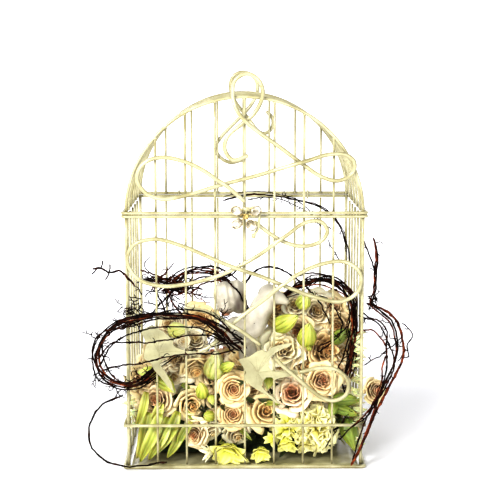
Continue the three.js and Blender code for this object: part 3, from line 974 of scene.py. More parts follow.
def star(clay, centre, size, facing, colours, petals=8, spread=0.6, seed=0, droop=0.2, narrow=0.5):
    """A bloom of pointed petals."""
    r = random.Random(seed)
    turn = turn_to(facing)
    u = np.linspace(-1, 1, 7)[None, :]
    v = np.linspace(0, 1, 10)[:, None]
    for i in range(petals):
        layer = i % 2
        angle = i * 2 * math.pi / petals + r.uniform(-0.2, 0.2)
        tilt = spread * (0.8 + 0.5 * layer) + r.uniform(-0.12, 0.12)
        reach = size * r.uniform(0.85, 1.1)
        along = reach * v
        bow = tilt + droop * v
        out = along * np.sin(bow)
        up = along * np.cos(bow) - size * 0.4
        half = narrow * size * 0.42 * np.sin(np.pi * np.clip(0.14 + 0.86 * v, 0, 1)) ** 0.85
        side = u * half
        cup = -0.28 * size * (u ** 2) * np.sin(np.pi * v) * 0.35
        radial = out + cup * np.cos(bow) + size * 0.05
        height = up - cup * np.sin(bow)
        x = radial * math.cos(angle) - side * math.sin(angle)
        y = radial * math.sin(angle) + side * math.cos(angle)
        surface = np.stack([x, y, height + 0 * u], axis=2) @ turn.T + np.asarray(centre, float)
        vein = 0.12 * np.cos(u * math.pi * 3)
        thick_grid(clay, surface, 0.35, shade(colours, 0.15 + 0.75 * v + vein) * r.uniform(0.92, 1.05))


def leaf(clay, base, tip, width, normal, colours, bend=0.15, seed=0):
    """A pointed leaf from base to tip, folded along its midrib."""
    r = random.Random(seed)
    base = np.asarray(base, float)
    tip = np.asarray(tip, float)
    along = tip - base
    length = np.linalg.norm(along)
    along = along / length
    side = unit(np.cross(along, np.asarray(normal, float)))
    up = np.cross(side, along)
    u = np.linspace(-1, 1, 9)[None, :, None]
    v = np.linspace(0, 1, 13)[:, None, None]
    half = width / 2 * 1.62 * (v + 0.05) ** 0.5 * (1.02 - v) ** 0.8
    lift = bend * length * np.sin(np.pi * v) + np.abs(u) * half * 0.45
    wave = 0.06 * width * np.sin(v * 8 + r.uniform(0, 6)) * u
    sway = 0.10 * width * np.sin(v * 4 + r.uniform(0, 6))
    surface = base + along * (v * length) + side * (u * half + sway) + up * (lift + wave)
    rib = np.abs(u[:, :, 0])
    stripe = 0.42 + 0.34 * rib + 0.16 * np.cos(rib * 9.4) + 0.14 * np.sin(v[:, :, 0] * 5 + r.uniform(0, 6))
    thick_grid(clay, surface, 0.35, shade(colours, stripe) * r.uniform(0.84, 1.06))


IVORY_ROSE = ("#c8a45a", "#efdfb0", "#fbf5d8", "#fefcec")
BLUSH_ROSE = ("#c46c4a", "#ecb48c", "#f6dcb8", "#faecce")
SPIRAL_ROSE = ("#a4523a", "#e9ae84", "#fbdcb2", "#fbe6bd")
PEACH_ROSE = ("#b87838", "#ebc184", "#f7ddaa", "#faebc4")
# Its near-black first stops are painted shade deep in the open heart; the others are the petals' own colours.
SHADED_HEART_ROSE = ("#180705", "#34120d", "#9c4c38", "#efb290", "#fbe0c2", "#fdeedb")
PINK_ROSE = ("#d0765a", "#efb494", "#f7d8b8", "#faeac4")
RUFFLED = ("#bd7c46", "#e7b984", "#f4d4a0", "#f9e7c0")
PALE_ROSE = ("#c9985c", "#efd9aa", "#f9efd2", "#fdf8e6")
STRAW = ("#a9a86a", "#d9d39c", "#f1ecc8", "#fbf8e4")
GREEN_BUD = ("#6d7a2c", "#a7ab58", "#d3cd8f", "#efe6bd")
YELLOW = ("#bfca3c", "#e8ea62", "#f8f68e", "#fdfac0")
CREAM_YELLOW = ("#a8a034", "#ded674", "#f5efa4", "#fcf8cc")
YELLOW_GREEN = ("#84882a", "#b2b548", "#d6d772", "#efefb6")
LIME = ("#64681a", "#9a9e34", "#c8c85e", "#eae6a4")
OLIVE = ("#35420e", "#66762a", "#93a046", "#c6ca70")
LEAF = ("#3e460f", "#7b8228", "#b3b752", "#dfde98")
PALE_LEAF = ("#b4bb74", "#d3d69c", "#e8e8bc", "#f6f4da")
DARK_LEAF = ("#0c1206", "#18220c", "#2b3a16", "#44561f")

# Name, place, size, facing, colours, petals, ruffle, openness.
ROSES = [
    ("rose_blush", (-101, -74, 72), 21.5, (-0.2, -1, 0.35), BLUSH_ROSE, 17, 0.05, 1.0),
    ("rose_cream", (-62, -75, 66), 19, (0.45, -1, 0.05), PEACH_ROSE, 16, 0.03, 0.9),
    ("rose_spiral_upper", (-13, -78, 86), 18.5, (0.1, -1, 0.15), SPIRAL_ROSE, 18, 0.02, 0.95),
    ("rose_spiral_lower", (-14, -79, 56), 17, (0.1, -1, 0.35), SPIRAL_ROSE, 17, 0.03, 0.95),
    ("rose_peach_open", (24, -77, 59), 19.5, (0.25, -1, 0.55), PEACH_ROSE, 12, 0.04, 1.0),
    ("rose_dark_heart", (55, -76, 80), 21.5, (-0.15, -1, 0.5), SHADED_HEART_ROSE, 15, 0.05, 1.0),
    ("rose_pink", (89, -76, 95), 20, (0.1, -1, 0.3), PINK_ROSE, 17, 0.06, 1.0),
    ("rose_ivory", (45, -58, 128), 28.5, (0.0, -1, 0.4), IVORY_ROSE, 17, 0.08, 1.0),
    ("rose_ruffled", (94, -52, 126), 29, (0.25, -1, 0.35), RUFFLED, 24, 0.09, 1.0),
    ("rose_pale", (84, -38, 168), 23, (0.1, -1, 0.35), PALE_ROSE, 17, 0.06, 1.0),
    ("rose_cluster", (-78, -56, 117), 24, (-0.25, -1, 0.35), PALE_ROSE, 20, 0.08, 1.0),
    ("rose_outside_right", (152, -70, 82), 14, (0.6, -1, 0.3), PINK_ROSE, 18, 0.04, 0.95),
]
MORE_ROSES = [
    ("rose_edge", (40, -30, 170), 21, (-0.25, -1, 0.7), PEACH_ROSE, 20, 0.05, 1.0),
    ("rose_hanging_peach", (-57, -66, 106), 17, (0.3, -0.8, -0.6), PEACH_ROSE, 18, 0.03, 0.8),
    ("rose_bud_small", (-70, -76, 141), 7.5, (0.1, -1, 0.3), PALE_ROSE, 16, 0.03, 0.9),
    ("rose_low_pink", (-58, -82, 34), 16, (-0.25, -1, 0.0), BLUSH_ROSE, 20, 0.05, 0.95),
    ("rose_low_ivory", (-38, -78, 36), 15, (0.4, -0.8, -0.5), IVORY_ROSE, 16, 0.05, 0.95),
    ("rose_white_left", (-58, -60, 139), 15, (0.2, -0.8, 0.6), IVORY_ROSE, 18, 0.06, 1.0),
    ("rose_low_peach", (-8, -76, 32), 17, (0.2, -1, -0.5), PALE_ROSE, 16, 0.04, 0.95),
    ("rose_top_left", (-88, -30, 150), 17, (-0.3, -1, 0.6), PALE_ROSE, 20, 0.06, 1.0),
    ("rose_top_mid", (-52, -34, 158), 19, (-0.1, -1, 0.5), RUFFLED, 22, 0.06, 1.0),
]
FILLERS = [
    (-84, -58, 96), (-38, -58, 98), (8, -60, 84), (40, -58, 102), (72, -60, 108), (108, -60, 102),
    (112, -62, 68), (-116, -64, 94), (-30, -62, 70), (6, -62, 62), (70, -62, 60), (104, -62, 50),
    (-92, -62, 50), (62, -54, 148), (110, -44, 152), (116, -52, 122), (-100, -52, 122), (-112, -40, 104),
    (60, -40, 176), (104, -34, 172),
]


def rose_pieces(table, first_seed, modelled):
    """One piece for each rose of a table. Those that are modelled too replace their node."""
    for k, (name, place, size, facing, colours, petals, ruffle, openness) in enumerate(table):
        clay = Clay()
        rose(clay, place, size, facing, colours, petals, ruffle, openness, seed=first_seed + k)
        if modelled:
            clay.build(name + "_head", PETAL, "cage", [name])
        else:
            clay.build(name, PETAL, "cage")


def add_roses():
    rose_pieces(ROSES, 40, True)
    rose_pieces(MORE_ROSES, 90, False)
    palettes = (IVORY_ROSE, BLUSH_ROSE, PEACH_ROSE, PALE_ROSE, RUFFLED, PINK_ROSE)
    clay = Clay()
    for k, place in enumerate(FILLERS):
        facing = (jitter(0.5), -1, 0.3 + jitter(0.4))
        colours = palettes[(k * 5) % 6]
        # These roses sit between and behind the front ones, darkened to 0.86: painted shade.
        rose(clay, place, 17 + jitter(2), facing, colours, 14, 0.07, 1.0, seed=150 + k, painted_shade_factor=0.86)
    clay.build("roses_between", PETAL, "cage")
    clay = Clay()
    number = 0
    for row, (y, count) in enumerate(((-20, 4), (18, 5), (54, 5), (82, 6))):
        for k in range(count):
            x = -98 + 196 * (k + 0.5 * (row % 2)) / count + jitter(8)
            z = 112 - 0.0040 * x * x - max(0, y - 30) * 0.75 + jitter(8)
            facing = (x / 130, (y - 5) / 90, 1.2)
            place = (x, y + jitter(6), z)
            size = 21 + jitter(4)
            colours = palettes[number % 6]
            rose(clay, place, size, facing, colours, 14, 0.05, 1.0, seed=200 + number, cols=9, rows=7)
            number += 1
    clay.build("roses_back", PETAL, "cage")


# Place, length, width, facing.
BUDS = [
    ((-112, -82, 107), 22, 8, (-1, -0.3, 0.1)),
    ((-49, -86, 87), 22, 8.5, (-0.1, -0.4, 1)),
    ((-42, -88, 57), 17, 7.5, (-0.5, -0.8, 0.3)),
    ((-38, -88, 76), 12, 5, (0.3, -0.6, -1)),
    ((48, -76, 164), 36, 12, (0.8, -0.5, 0.55)),
    ((72, -78, 150), 33, 12.5, (0.15, -0.5, 1)),
    ((69, -62, 186), 24, 10, (0.3, -0.6, 0.7)),
    ((27, -88, 95), 17, 6.5, (-0.2, -0.7, -0.6)),
    ((74, -84, 135), 9, 3.5, (0.2, -0.8, 0.2)),
    ((-76, -70, 154), 26, 10, (0.9, -0.4, 0.2)),
    ((-90, -78, 92), 30, 10, (0.7, -0.6, -0.5)),
    ((-19, -86, 115), 20, 7, (0.8, -0.5, 0.5)),
]
SIDE_BUDS = [
    ((118, -82, 74), 34, 9, (1, -0.2, 0.05)), ((116, -84, 62), 32, 8, (1, -0.3, -0.35)),
    ((112, -66, 146), 30, 9, (0.7, -0.4, 0.6)), ((122, -80, 32), 40, 12, (0.3, -0.4, -1)),
    ((102, -84, 64), 24, 8, (-0.3, -0.7, -0.5)),
]
# Base, tip, width.
LEFT_LEAVES = [
    ((-108, -84, 60), (-125, -89, 8), 19), ((-98, -86, 60), (-118, -92, 4), 21),
    ((-88, -87, 56), (-108, -92, 6), 20), ((-76, -86, 62), (-101, -91, 12), 19),
    ((-72, -84, 44), (-88, -90, 8), 16), ((-112, -82, 84), (-124, -86, 44), 14),
    ((-62, -84, 50), (-78, -90, 20), 14), ((-94, -80, 70), (-114, -85, 28), 18),
]


def add_greens():
    """The buds and the blades at the left."""
    clay = Clay()
    bud(clay, (-34, -72, 113), 36, 14.5, (0.15, -0.25, 1), GREEN_BUD, 6, seed=1)
    clay.build("bud_green_sepals", GREEN, "cage", ["bud_green"])
    clay = Clay()
    for k, (place, length, width, facing) in enumerate(BUDS):
        colours = CREAM_YELLOW if k == 9 else YELLOW_GREEN if k % 3 == 0 else LIME
        bud(clay, place, length, width, facing, colours, 6, seed=20 + k)
    for k, (place, length, width, facing) in enumerate(SIDE_BUDS):
        bud(clay, place, length, width, facing, OLIVE, 6, seed=50 + k)
    clay.build("buds_more", GREEN, "cage")
    clay = Clay()
    for k, (base, tip, width) in enumerate(LEFT_LEAVES):
        leaf(clay, base, tip, width, (0, -1, 0.2), LEAF, 0.06, seed=70 + k)
    clay.build("leaves_left_blades", GREEN, "cage", ["leaves_left"])


def add_blooms():
    """The yellow blooms low at the front."""
    clay = Clay()
    pom(clay, (82, -68, 36), 29, (0.05, -1, 0.2), CREAM_YELLOW, 46, seed=5)
    clay.build("bloom_yellow_head", PALE_PETAL, "cage", ["bloom_yellow"])
    clay = Clay()
    star(clay, (-19, -95, 16), 27, (-0.1, -0.9, -0.6), YELLOW, 12, 0.5, seed=1, droop=0.35, narrow=0.95)
    star(clay, (-40, -90, 15), 20, (-1, -0.5, -0.05), STRAW, 6, 0.35, seed=2, narrow=0.4)
    clay.build("bloom_hanging_petals", PALE_PETAL, "cage", ["bloom_hanging"])
    clay = Clay()
    star(clay, (19, -93, 15), 17, (0, -0.8, -0.6), YELLOW, 9, 0.55, seed=3, droop=0.25, narrow=0.95)
    pom(clay, (49, -76, 38), 20, (-0.1, -1, 0.1), YELLOW, 26, seed=4)
    star(clay, (48, -91, 24), 18, (0, -0.7, -0.9), YELLOW, 8, 0.5, seed=5, droop=0.3, narrow=1.0)
    star(clay, (30, -88, 30), 12, (-0.6, -0.7, 0.3), YELLOW, 6, 0.6, seed=6, narrow=0.6)
    star(clay, (70, -86, 20), 15, (0.1, -0.7, -0.9), CREAM_YELLOW, 8, 0.6, seed=7, narrow=1.0)
    clay.build("blooms_front", PALE_PETAL, "cage")


def add_foliage():
    """Dark leaves in the gaps, and pale feathery sprigs at both sides."""
    clay = Clay()
    for k in range(150):
        x = rng.uniform(-118, 118)
        side = rng.random()
        y = -88 + 30 * side if k % 3 else rng.uniform(-60, 84)
        z = rng.uniform(14, 90) if k % 3 else rng.uniform(66, 100)
        aim = np.array([rng.uniform(-1, 1), -0.4 + rng.uniform(-0.4, 0.4), rng.uniform(-0.6, 1)])
        base = np.array([x, min(y + 14, 84), z])
        tip = base + unit(aim) * rng.uniform(14, 26)
        tip[0] = max(-124, min(124, tip[0]))
        tip[1] = max(-90, min(92, tip[1]))
        tip[2] = max(5, tip[2])
        facing = (rng.uniform(-0.5, 0.5), -1, 0.4)
        leaf(clay, base, tip, rng.uniform(7, 12), facing, DARK_LEAF if k % 4 else OLIVE, 0.1, seed=300 + k)
    clay.build("foliage_dark", GREEN, "cage")
    clay = Clay()
    for side, low, high, count in ((-1, 44, 76, 14), (1, 12, 150, 64)):
        for k in range(count):
            z = rng.uniform(low, high)
            y = rng.uniform(-84, -50)
            base = np.array([side * 124, y, z])
            tip_x = side * (130 + rng.uniform(0, 12))
            tip = np.array([tip_x, y - rng.uniform(-4, 12), z + rng.uniform(-8, 10)])
            leaf(clay, base, tip, rng.uniform(3, 7), (0, -1, 0.3), PALE_LEAF, 0.12, seed=500 + k)
    clay.build("sprigs_side", GREEN, "cage")


def cover_rose(clay, place, size, facing, number):
    """One of the plainer roses at the sides and back."""
    colours = (IVORY_ROSE, PALE_ROSE, PEACH_ROSE, BLUSH_ROSE)[number % 4]
    rose(clay, place, size, facing, colours, 14, 0.06, 1.0, seed=2500 + number, cols=9, rows=8)


def add_cover():
    """Leaves and roses that hide the sides and back of the foam."""
    clay = Clay()
    lo, hi = (np.array(v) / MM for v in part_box("floral_foam"))
    palettes = (OLIVE, LEAF, DARK_LEAF, OLIVE, LIME)
    for k in range(330):
        side = k % 3
        z = rng.uniform(10, hi[2] + 4)
        if side == 2:
            base = np.array([rng.uniform(lo[0], hi[0]), hi[1] - 3, z])
            out = np.array([rng.uniform(-0.6, 0.6), 1.0, rng.uniform(-0.9, 0.5)])
        else:
            way = 1 if side else -1
            base = np.array([way * (hi[0] - 3), rng.uniform(lo[1], hi[1]), z])
            out = np.array([way * 1.0, rng.uniform(-0.6, 0.6), rng.uniform(-0.9, 0.5)])
        tip = base + unit(out) * rng.uniform(14, 24)
        tip[0] = max(-126, min(126, tip[0]))
        tip[1] = max(-90, min(93, tip[1]))
        tip[2] = max(3, tip[2])
        width = rng.uniform(9, 15)
        facing = (rng.uniform(-0.4, 0.4), rng.uniform(-0.4, 0.4), 1)
        leaf(clay, base, tip, width, facing, palettes[k % 5], 0.12, seed=2000 + k)
    clay.build("foliage_sides", GREEN, "cage")
    clay = Clay()
    number = 0
    for way in (-1, 1):
        for row, z in enumerate((74, 38)):
            for y in (-38, -6, 26, 58):
                place = (way * 108, y + 12 * row + jitter(4), z + jitter(6))
                cover_rose(clay, place, 17 + jitter(3), (way, jitter(0.3), 0.35), number)
                number += 1
    for row, z in enumerate((60, 30)):
        for x in (-84, -42, 0, 42, 84):
            place = (x + 14 * row + jitter(5), 80, z + jitter(5))
            cover_rose(clay, place, 16 + jitter(3), (jitter(0.3), 1, 0.35), number)
            number += 1
    clay.build("roses_sides", PETAL, "cage")


def add_foam():
    """A block with a rough top and sunken edges, hidden by the flowers."""
    lo, hi = (np.array(v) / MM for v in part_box("floral_foam"))
    rows = 14
    cols = 20
    soft_edge = 0.15
    top = []
    for v in np.linspace(0, 1, rows):
        for u in np.linspace(0, 1, cols):
            edge = min(u, v, 1 - u, 1 - v)
            z = hi[2] - 8 * max(0, soft_edge - edge) / soft_edge + jitter(1)
            top.append((lo[0] + (hi[0] - lo[0]) * u, lo[1] + (hi[1] - lo[1]) * v, z))
    bottom = [(x, y, lo[2]) for x, y, _ in top]
    clay = Clay()
    clay.add(top + bottom, sheet_faces(rows, cols))
    clay.build("floral_foam_block", FOAM, "cage", ["floral_foam"], smooth=False)


# ---------- dove figurines ----------
def melted(name, lumps, replaces, ridges, marks_and_painted_shade, dots):
    """A figure made by melting ellipsoids together, with wing ridges, soft tinted patches, some of them
    painted shade, and small dots.
    """
    raw = Clay()
    for centre, size, facing in lumps:
        blob(raw, centre, size, wide=24, high=16, turn=turn_to(facing))
    mesh = bpy.data.meshes.new(name)
    mesh.from_pydata((np.concatenate(raw.verts) * MM).tolist(), [], raw.faces)
    temp = bpy.data.objects.new(name, mesh)
    bpy.context.scene.collection.objects.link(temp)
    remesh = temp.modifiers.new("remesh", "REMESH")
    remesh.mode = "VOXEL"
    remesh.voxel_size = 0.0011
    soften = temp.modifiers.new("soften", "SMOOTH")
    soften.iterations = 26
    done = settled_mesh(temp)
    co = np.array([v.co for v in done.vertices]) / MM
    normal = np.array([v.normal for v in done.vertices])
    tint = np.ones((len(co), 3))
    for centre, reach, colour in marks_and_painted_shade:
        away = (co - np.asarray(centre, float)) / np.asarray(reach, float)
        weight = np.exp(-(away ** 2).sum(axis=1))[:, None]
        tint = tint * (1 - weight) + np.array(linear(colour)) * weight
    for centre, direction, spacing, depth, reach in ridges:
        away = np.linalg.norm(co - np.asarray(centre, float), axis=1)
        along = (co - np.asarray(centre, float)) @ unit(direction)
        strength = np.clip(1 - away / reach, 0, 1) ** 0.7
        co = co + normal * (depth * np.sin(along / spacing * 2 * math.pi) * strength)[:, None]
    clay = Clay()
    clay.add(co, [tuple(p.vertices) for p in done.polygons], tint)
    for centre, size, colour in dots:
        blob(clay, centre, size, linear(colour), 14, 10)
    clay.build(name, DOVE, "cage", replaces)


def add_doves():
    melted("dove_left_figure", [
        ((-23, -34, 188), (14, 14, 16), (-0.1, -0.2, 1)),
        ((-11, -30, 188), (14, 13, 17), (0.2, 0, 1)),
        ((-21, -38, 174), (12, 11, 9), (0, 0, 1)),
        ((-6, -32, 176), (10, 10, 12), (0, 0, 1)),
    ], ["dove_figurine_left"], [((-16, -46, 192), (1, 0, 0.15), 7.5, 0.7, 28)], [
        # Tinted patches: a dark reddish-brown patch, grey painted shade at the right side, and the pink beak.
        ((-7, -44, 176), (4, 8, 10), "#43180e"), ((0, -40, 184), (6, 9, 14), "#8d8275"),
        ((-22, -48, 167), (9, 6, 4), "#d8a88e"),
    ], [((-22, -50.5, 167.5), (5, 3, 1.8), "#cf9578")])
    melted("dove_right_figure", [
        ((28, -58, 192), (14, 13, 13), (0.5, 0, 1)),
        ((36, -57, 189), (9, 8.5, 13), (0.9, 0, -0.25)),
        ((44, -57, 185.5), (5.5, 5, 9), (0.9, 0, -0.35)),
        ((20, -63, 177), (15, 14, 22), (0.45, 0, 1)),
        ((12, -64, 160), (16, 14, 20), (0.5, 0, 1)),
        ((0, -63, 148), (18, 14, 17), (0.6, 0, 0.8)),
        ((-10, -62, 142), (20, 14, 15), (0.8, 0, 0.5)),
        ((-22, -60, 146), (14, 12, 14), (0.3, 0, 1)),
        ((-10, -60, 156), (16, 11, 12), (1, 0, 0.1)),
        ((4, -60, 124), (12, 11, 16), (0, 0, 1)),
    ], ["dove_figurine_right"], [((26, -70, 182), (0.8, 0, 0.5), 12, 0.3, 24)], [
        # Tinted patches, both painted shade: grey under the low breast and buff at the right side.
        ((-18, -74, 132), (14, 10, 9), "#b9b2a4"), ((31, -68, 164), (6, 12, 16), "#b8aa94"),
    ], [((11, -78.6, 163), (0.9, 0.9, 0.9), "#14100e")])


# ---------- dried vine ----------
def strand(clay, path, radius, wander, turns, phase, seed, tint):
    """One thin twig that winds round a path and wanders away from it here and there."""
    r = random.Random(seed)
    us, vs = path_frames(path, False)
    n = len(path)
    s = np.linspace(0, 1, n)
    slow = 0.75 + 0.45 * np.sin(s * r.uniform(5, 11) + r.uniform(0, 6))
    angle = phase + turns * 2 * math.pi * s + 1.1 * np.sin(s * r.uniform(5, 12) + r.uniform(0, 6))
    fine = 0.9 * np.sin(s * r.uniform(30, 50) + r.uniform(0, 6))
    shaky = np.array([[r.uniform(-0.4, 0.4) for _ in range(3)] for _ in range(n)])
    swell = wander * slow
    line = path + us * (swell * np.cos(angle) + fine)[:, None] + vs * (swell * np.sin(angle))[:, None]
    line = line + shaky
    knots = radius * (0.8 + 0.5 * np.array([r.random() ** 4 for _ in range(n)]))
    knots[0] *= 0.5
    knots[-1] *= 0.5
    tube(clay, line, knots, 7, tint=tint)
    return line


def tendril(clay, start, direction, length, seed, tint, thick=1.0, curls=0.55):
    """A short side twig that zigzags out and ends in a curl or a fork."""
    r = random.Random(seed)
    at = np.array(start, float)
    heading = unit(direction)
    spin = unit(np.array([r.uniform(-0.4, 0.4), r.choice((-1, 1)), r.uniform(-0.4, 0.4)]))
    curly = r.random() < curls
    points = [at.copy()]
    steps = max(4, int(length / 1.5))
    for k in range(steps):
        late = k > steps * 0.35
        bend = 0.38 + 0.2 * r.random() if curly and late else r.uniform(-0.45, 0.45)
        heading = unit(heading + np.cross(spin, heading) * bend)
        at = at + heading * 1.5
        points.append(at.copy())
    tube(clay, np.array(points), thick * np.linspace(0.58, 0.34, len(points)), 6, tint=tint)
    if not curly:
        i = len(points) // 2
        side = unit(heading + np.cross(spin, heading) * r.choice((-1.2, 1.2)))
        fork = [points[i] + side * 1.5 * k for k in range(4)]
        tube(clay, np.array(fork), thick * np.linspace(0.5, 0.3, 4), 6, tint=tint)


def bundle(name, replaces, rows, count, wander, radius, twiglets=10, turns=1.5, seed=0, reach=9, warm=4):
    """Thin twigs wound along one path. Every few twigs, one has warmer bark."""
    plain = Clay()
    ruddy = Clay()
    r = random.Random(seed)
    path = smooth_path(rows, 4)
    for k in range(count):
        clay = ruddy if count > 1 and k % warm == warm - 1 else plain
        lit = r.uniform(0.6, 1.5)
        tint = (lit, lit * r.uniform(0.8, 1.0), lit * r.uniform(0.7, 1.0))
        far = wander * (r.uniform(0.25, 0.8) if k % 3 else r.uniform(0.9, 1.5))
        line = strand(
            clay, path, radius * r.uniform(0.65, 1.2), far, turns * r.uniform(0.5, 1.4),
            6.283 * k / count, seed * 50 + k, tint,
        )
        if k < twiglets:
            for _ in range(3):
                i = r.randrange(2, len(line) - 3)
                away = unit(np.array([r.uniform(-1, 1), r.uniform(-0.5, 0.2), r.uniform(-1, 1)]))
                tendril(plain, line[i], away, r.uniform(0.6, 1.7) * reach, seed * 70 + k + i, tint)
    plain.build(name, BARK, "cage", replaces)
    if ruddy.count:
        ruddy.build(name + "_ruddy", BARK_WARM, "cage")


BLACK_TWIG = (0.5, 0.4, 0.4)
DULL_TWIG = (0.6, 0.5, 0.5)


def side_twigs(clay, path, series, k, ends, gap, across=(-1, 1), up=(-1, 1), reach=(4, 12), back=-0.1,
               tint=BLACK_TWIG, knots=False):
    """Tendrils at even steps along a twig. The series and k number its random seeds."""
    r = random.Random(series + k)
    for i in range(ends, len(path) - ends, gap):
        if knots:
            blob(clay, path[i], (1.3, 1.3, 1.3), tint, wide=7, high=5)
        aim = (r.uniform(*across), back, r.uniform(*up))
        tendril(clay, path[i], aim, r.uniform(*reach), series + 20 + 20 * k + i, tint)


def tuft(clay, spot, spread, seed, first_twig, thick=1.0):
    """Four tendrils that start close to one spot."""
    r = random.Random(seed)
    x, y, z = spot
    for j in range(4):
        start = (x + r.uniform(-spread, spread), y, z + r.uniform(-spread, spread))
        aim = (r.uniform(-1, 1), -0.1, r.uniform(-1, 1))
        tendril(clay, start, aim, r.uniform(8, 18), first_twig + j, DULL_TWIG, thick)


LEFT_WREATH = [
    (-96, -88, 116), (-115.5, -101, 104), (-124, -112, 102), (-142, -115, 103), (-157, -113, 112),
    (-164, -111, 130), (-155, -113, 158), (-131, -118, 173), (-101, -118, 180), (-75, -118, 180),
    (-48, -119, 178), (-30, -118, 166), (-15, -105, 149), (-4, -92, 136),
]
LEFT_WREATH_INNER = [
    (-15, -105, 149), (-4, -90, 145), (-26, -84, 141), (-62, -88, 133), (-96, -88, 116),
    (-115.5, -101, 104),
]
LEFT_LOOSE = [
    [(-164, -114, 122), (-148, -117, 146), (-134, -118, 157), (-100, -118, 167), (-72, -118, 168),
     (-50, -118, 166), (-30, -112, 156), (-16, -106, 142)],
    [(-162, -112, 132), (-148, -116, 149), (-128, -117, 150), (-106, -118, 150), (-86, -118, 154),
     (-60, -118, 159), (-38, -118, 158), (-22, -110, 148)],
    [(-158, -112, 118), (-136, -115, 124), (-117, -117, 127), (-95, -118, 133), (-72, -118, 137),
     (-50, -118, 138), (-28, -116, 138), (-11, -108, 142)],
    [(-165, -112, 140), (-150, -114, 166), (-122, -117, 181), (-92, -118, 184), (-60, -117, 182),
     (-36, -114, 174), (-12, -108, 158), (-2, -96, 148)],
    [(-150, -112, 100), (-162, -112, 104), (-170, -112, 122), (-168, -112, 146), (-154, -114, 164),
     (-138, -116, 176), (-110, -118, 182)],
    [(-98, -96, 108), (-118, -106, 98), (-140, -113, 99), (-160, -112, 110), (-167, -112, 132),
     (-160, -113, 150)],
    [(-34, -118, 162), (-20, -112, 150), (-8, -104, 142), (-2, -98, 132)],
]
LEFT_TUFTS = [
    (-169, -112, 158), (-160, -112, 148), (-137, -116, 172), (-132, -117, 190), (-126, -116, 184),
    (-30, -116, 176), (-22, -114, 184), (-38, -118, 158), (-166, -112, 112), (-150, -112, 104),
    (-136, -112, 104), (-124, -112, 106), (-144, -112, 96), (-118, -110, 108), (-108, -104, 112),
    (-156, -112, 108),
]


def add_left_wreath():
    """The big ring of twigs that stands out at the left of the front."""
    bundle("vine_wreath_left_twigs", ["vine_wreath_left"], LEFT_WREATH, 7, 6.5, 0.95, seed=1, twiglets=7,
           warm=3)
    bundle("vine_wreath_left_inner", [], LEFT_WREATH_INNER, 2, 3.0, 0.8, seed=9, twiglets=1)
    clay = Clay()
    for k, rows in enumerate(LEFT_LOOSE):
        path = smooth_path(rows, 3)
        lit = (0.5, 0.8, 1.3)[k % 3]
        strand(clay, path, 0.95, 0.8, 0.6, k, 700 + k, (lit, lit * 0.9, lit * 0.85))
        side_twigs(clay, path, 720, k, 5, 9, up=(-0.4, 1), tint=DULL_TWIG, knots=True)
    for k, spot in enumerate(LEFT_TUFTS):
        tuft(clay, spot, 4, 900 + k, 910 + 5 * k)
    clay.build("vine_wreath_left_loose", BARK, "cage")


RIGHT_WREATH = [
    (30, -20, 166), (47, -32, 186), (68, -48, 203), (90, -64, 211), (108, -74, 206), (120, -80, 192),
    (124, -82, 172), (124, -82, 148), (122, -80, 124), (117, -76, 100),
]
RIGHT_LOOSE = [
    [(22, -24, 178), (44, -34, 198), (70, -50, 214), (94, -66, 216), (114, -76, 208), (126, -82, 190),
     (122, -82, 160), (116, -80, 132), (104, -76, 104)],
    [(74, -52, 186), (90, -62, 190), (104, -72, 178), (112, -78, 162), (108, -80, 148), (94, -80, 136),
     (84, -78, 130)],
    [(78, -62, 196), (92, -68, 176), (98, -72, 160)],
    [(125, -82, 170), (112, -82, 154), (98, -82, 144), (86, -80, 138)],
    [(112, -80, 92), (118, -82, 72), (112, -84, 48), (98, -84, 36)],
]


def add_right_wreath():
    """The arch of twigs over the roses at the right."""
    bundle("vine_wreath_right_twigs", ["vine_wreath_right"], RIGHT_WREATH, 14, 6.0, 0.85, seed=2,
           twiglets=7, turns=0.9)
    clay = Clay()
    for k, rows in enumerate(RIGHT_LOOSE):
        path = smooth_path(rows, 3)
        lit = (1.2, 0.6, 0.5)[k % 3]
        strand(clay, path, 0.95, 1.0, 0.8, k, 800 + k, (lit, lit * 0.85, lit * 0.8))
        side_twigs(clay, path, 820, k, 3, 7, back=-0.2)
    clay.build("vine_wreath_right_loose", BARK, "cage")


BACK_VINE = [
    (-98, 28, 176), (-88, 32, 190), (-72, 34, 200), (-50, 35, 204), (-32, 34, 200), (-14, 30, 188),
    (-2, 24, 172), (6, 16, 156),
]
BACK_TUFTS = [
    (-118, -96, 186), (-124, -98, 180), (-116, -92, 196), (-110, -78, 172), (-102, -60, 180),
    (-122, -96, 170), (-84, -45, 178), (-66, -66, 172), (-74, -60, 184), (-130, -100, 182),
]
BACK_LOOSE = [
    [(-122, -96, 214), (-112, -60, 210), (-100, -20, 204), (-84, 10, 196), (-70, 28, 184)],
    [(-118, -84, 226), (-104, -50, 214), (-92, -10, 200), (-82, 20, 188)],
    [(-94, 0, 168), (-88, 6, 184), (-76, 10, 200), (-56, 12, 212), (-30, 10, 212), (-10, 4, 200),
     (2, -6, 180)],
    [(1, -10, 195), (10, -8, 209), (29, -4, 216), (49, -6, 211), (68, -14, 199), (80, -30, 188)],
    [(-34, -20, 212), (-20, -12, 206), (-12, -6, 214)],
    [(-40, 0, 196), (-24, 6, 200), (-12, 4, 206), (-4, 2, 220)],
    [(-70, -30, 196), (-56, -34, 206), (-38, -38, 210), (-20, -42, 205), (-6, -46, 192), (0, -48, 178)],
    [(-64, -20, 186), (-50, -26, 198), (-30, -30, 204), (-12, -34, 196), (-2, -40, 184)],
    [(-84, -20, 190), (-98, -50, 180), (-110, -78, 172), (-122, -96, 168)],
    [(-92, -20, 194), (-84, -40, 180), (-74, -60, 172), (-64, -70, 164)],
    [(-104, -50, 200), (-96, -60, 184), (-90, -70, 170)],
]
OUTWARD_TWIG = [
    (-122, -112, 214), (-132, -115, 226), (-138, -115, 231), (-150, -115, 229), (-159, -115, 234),
    (-169, -115, 233),
]


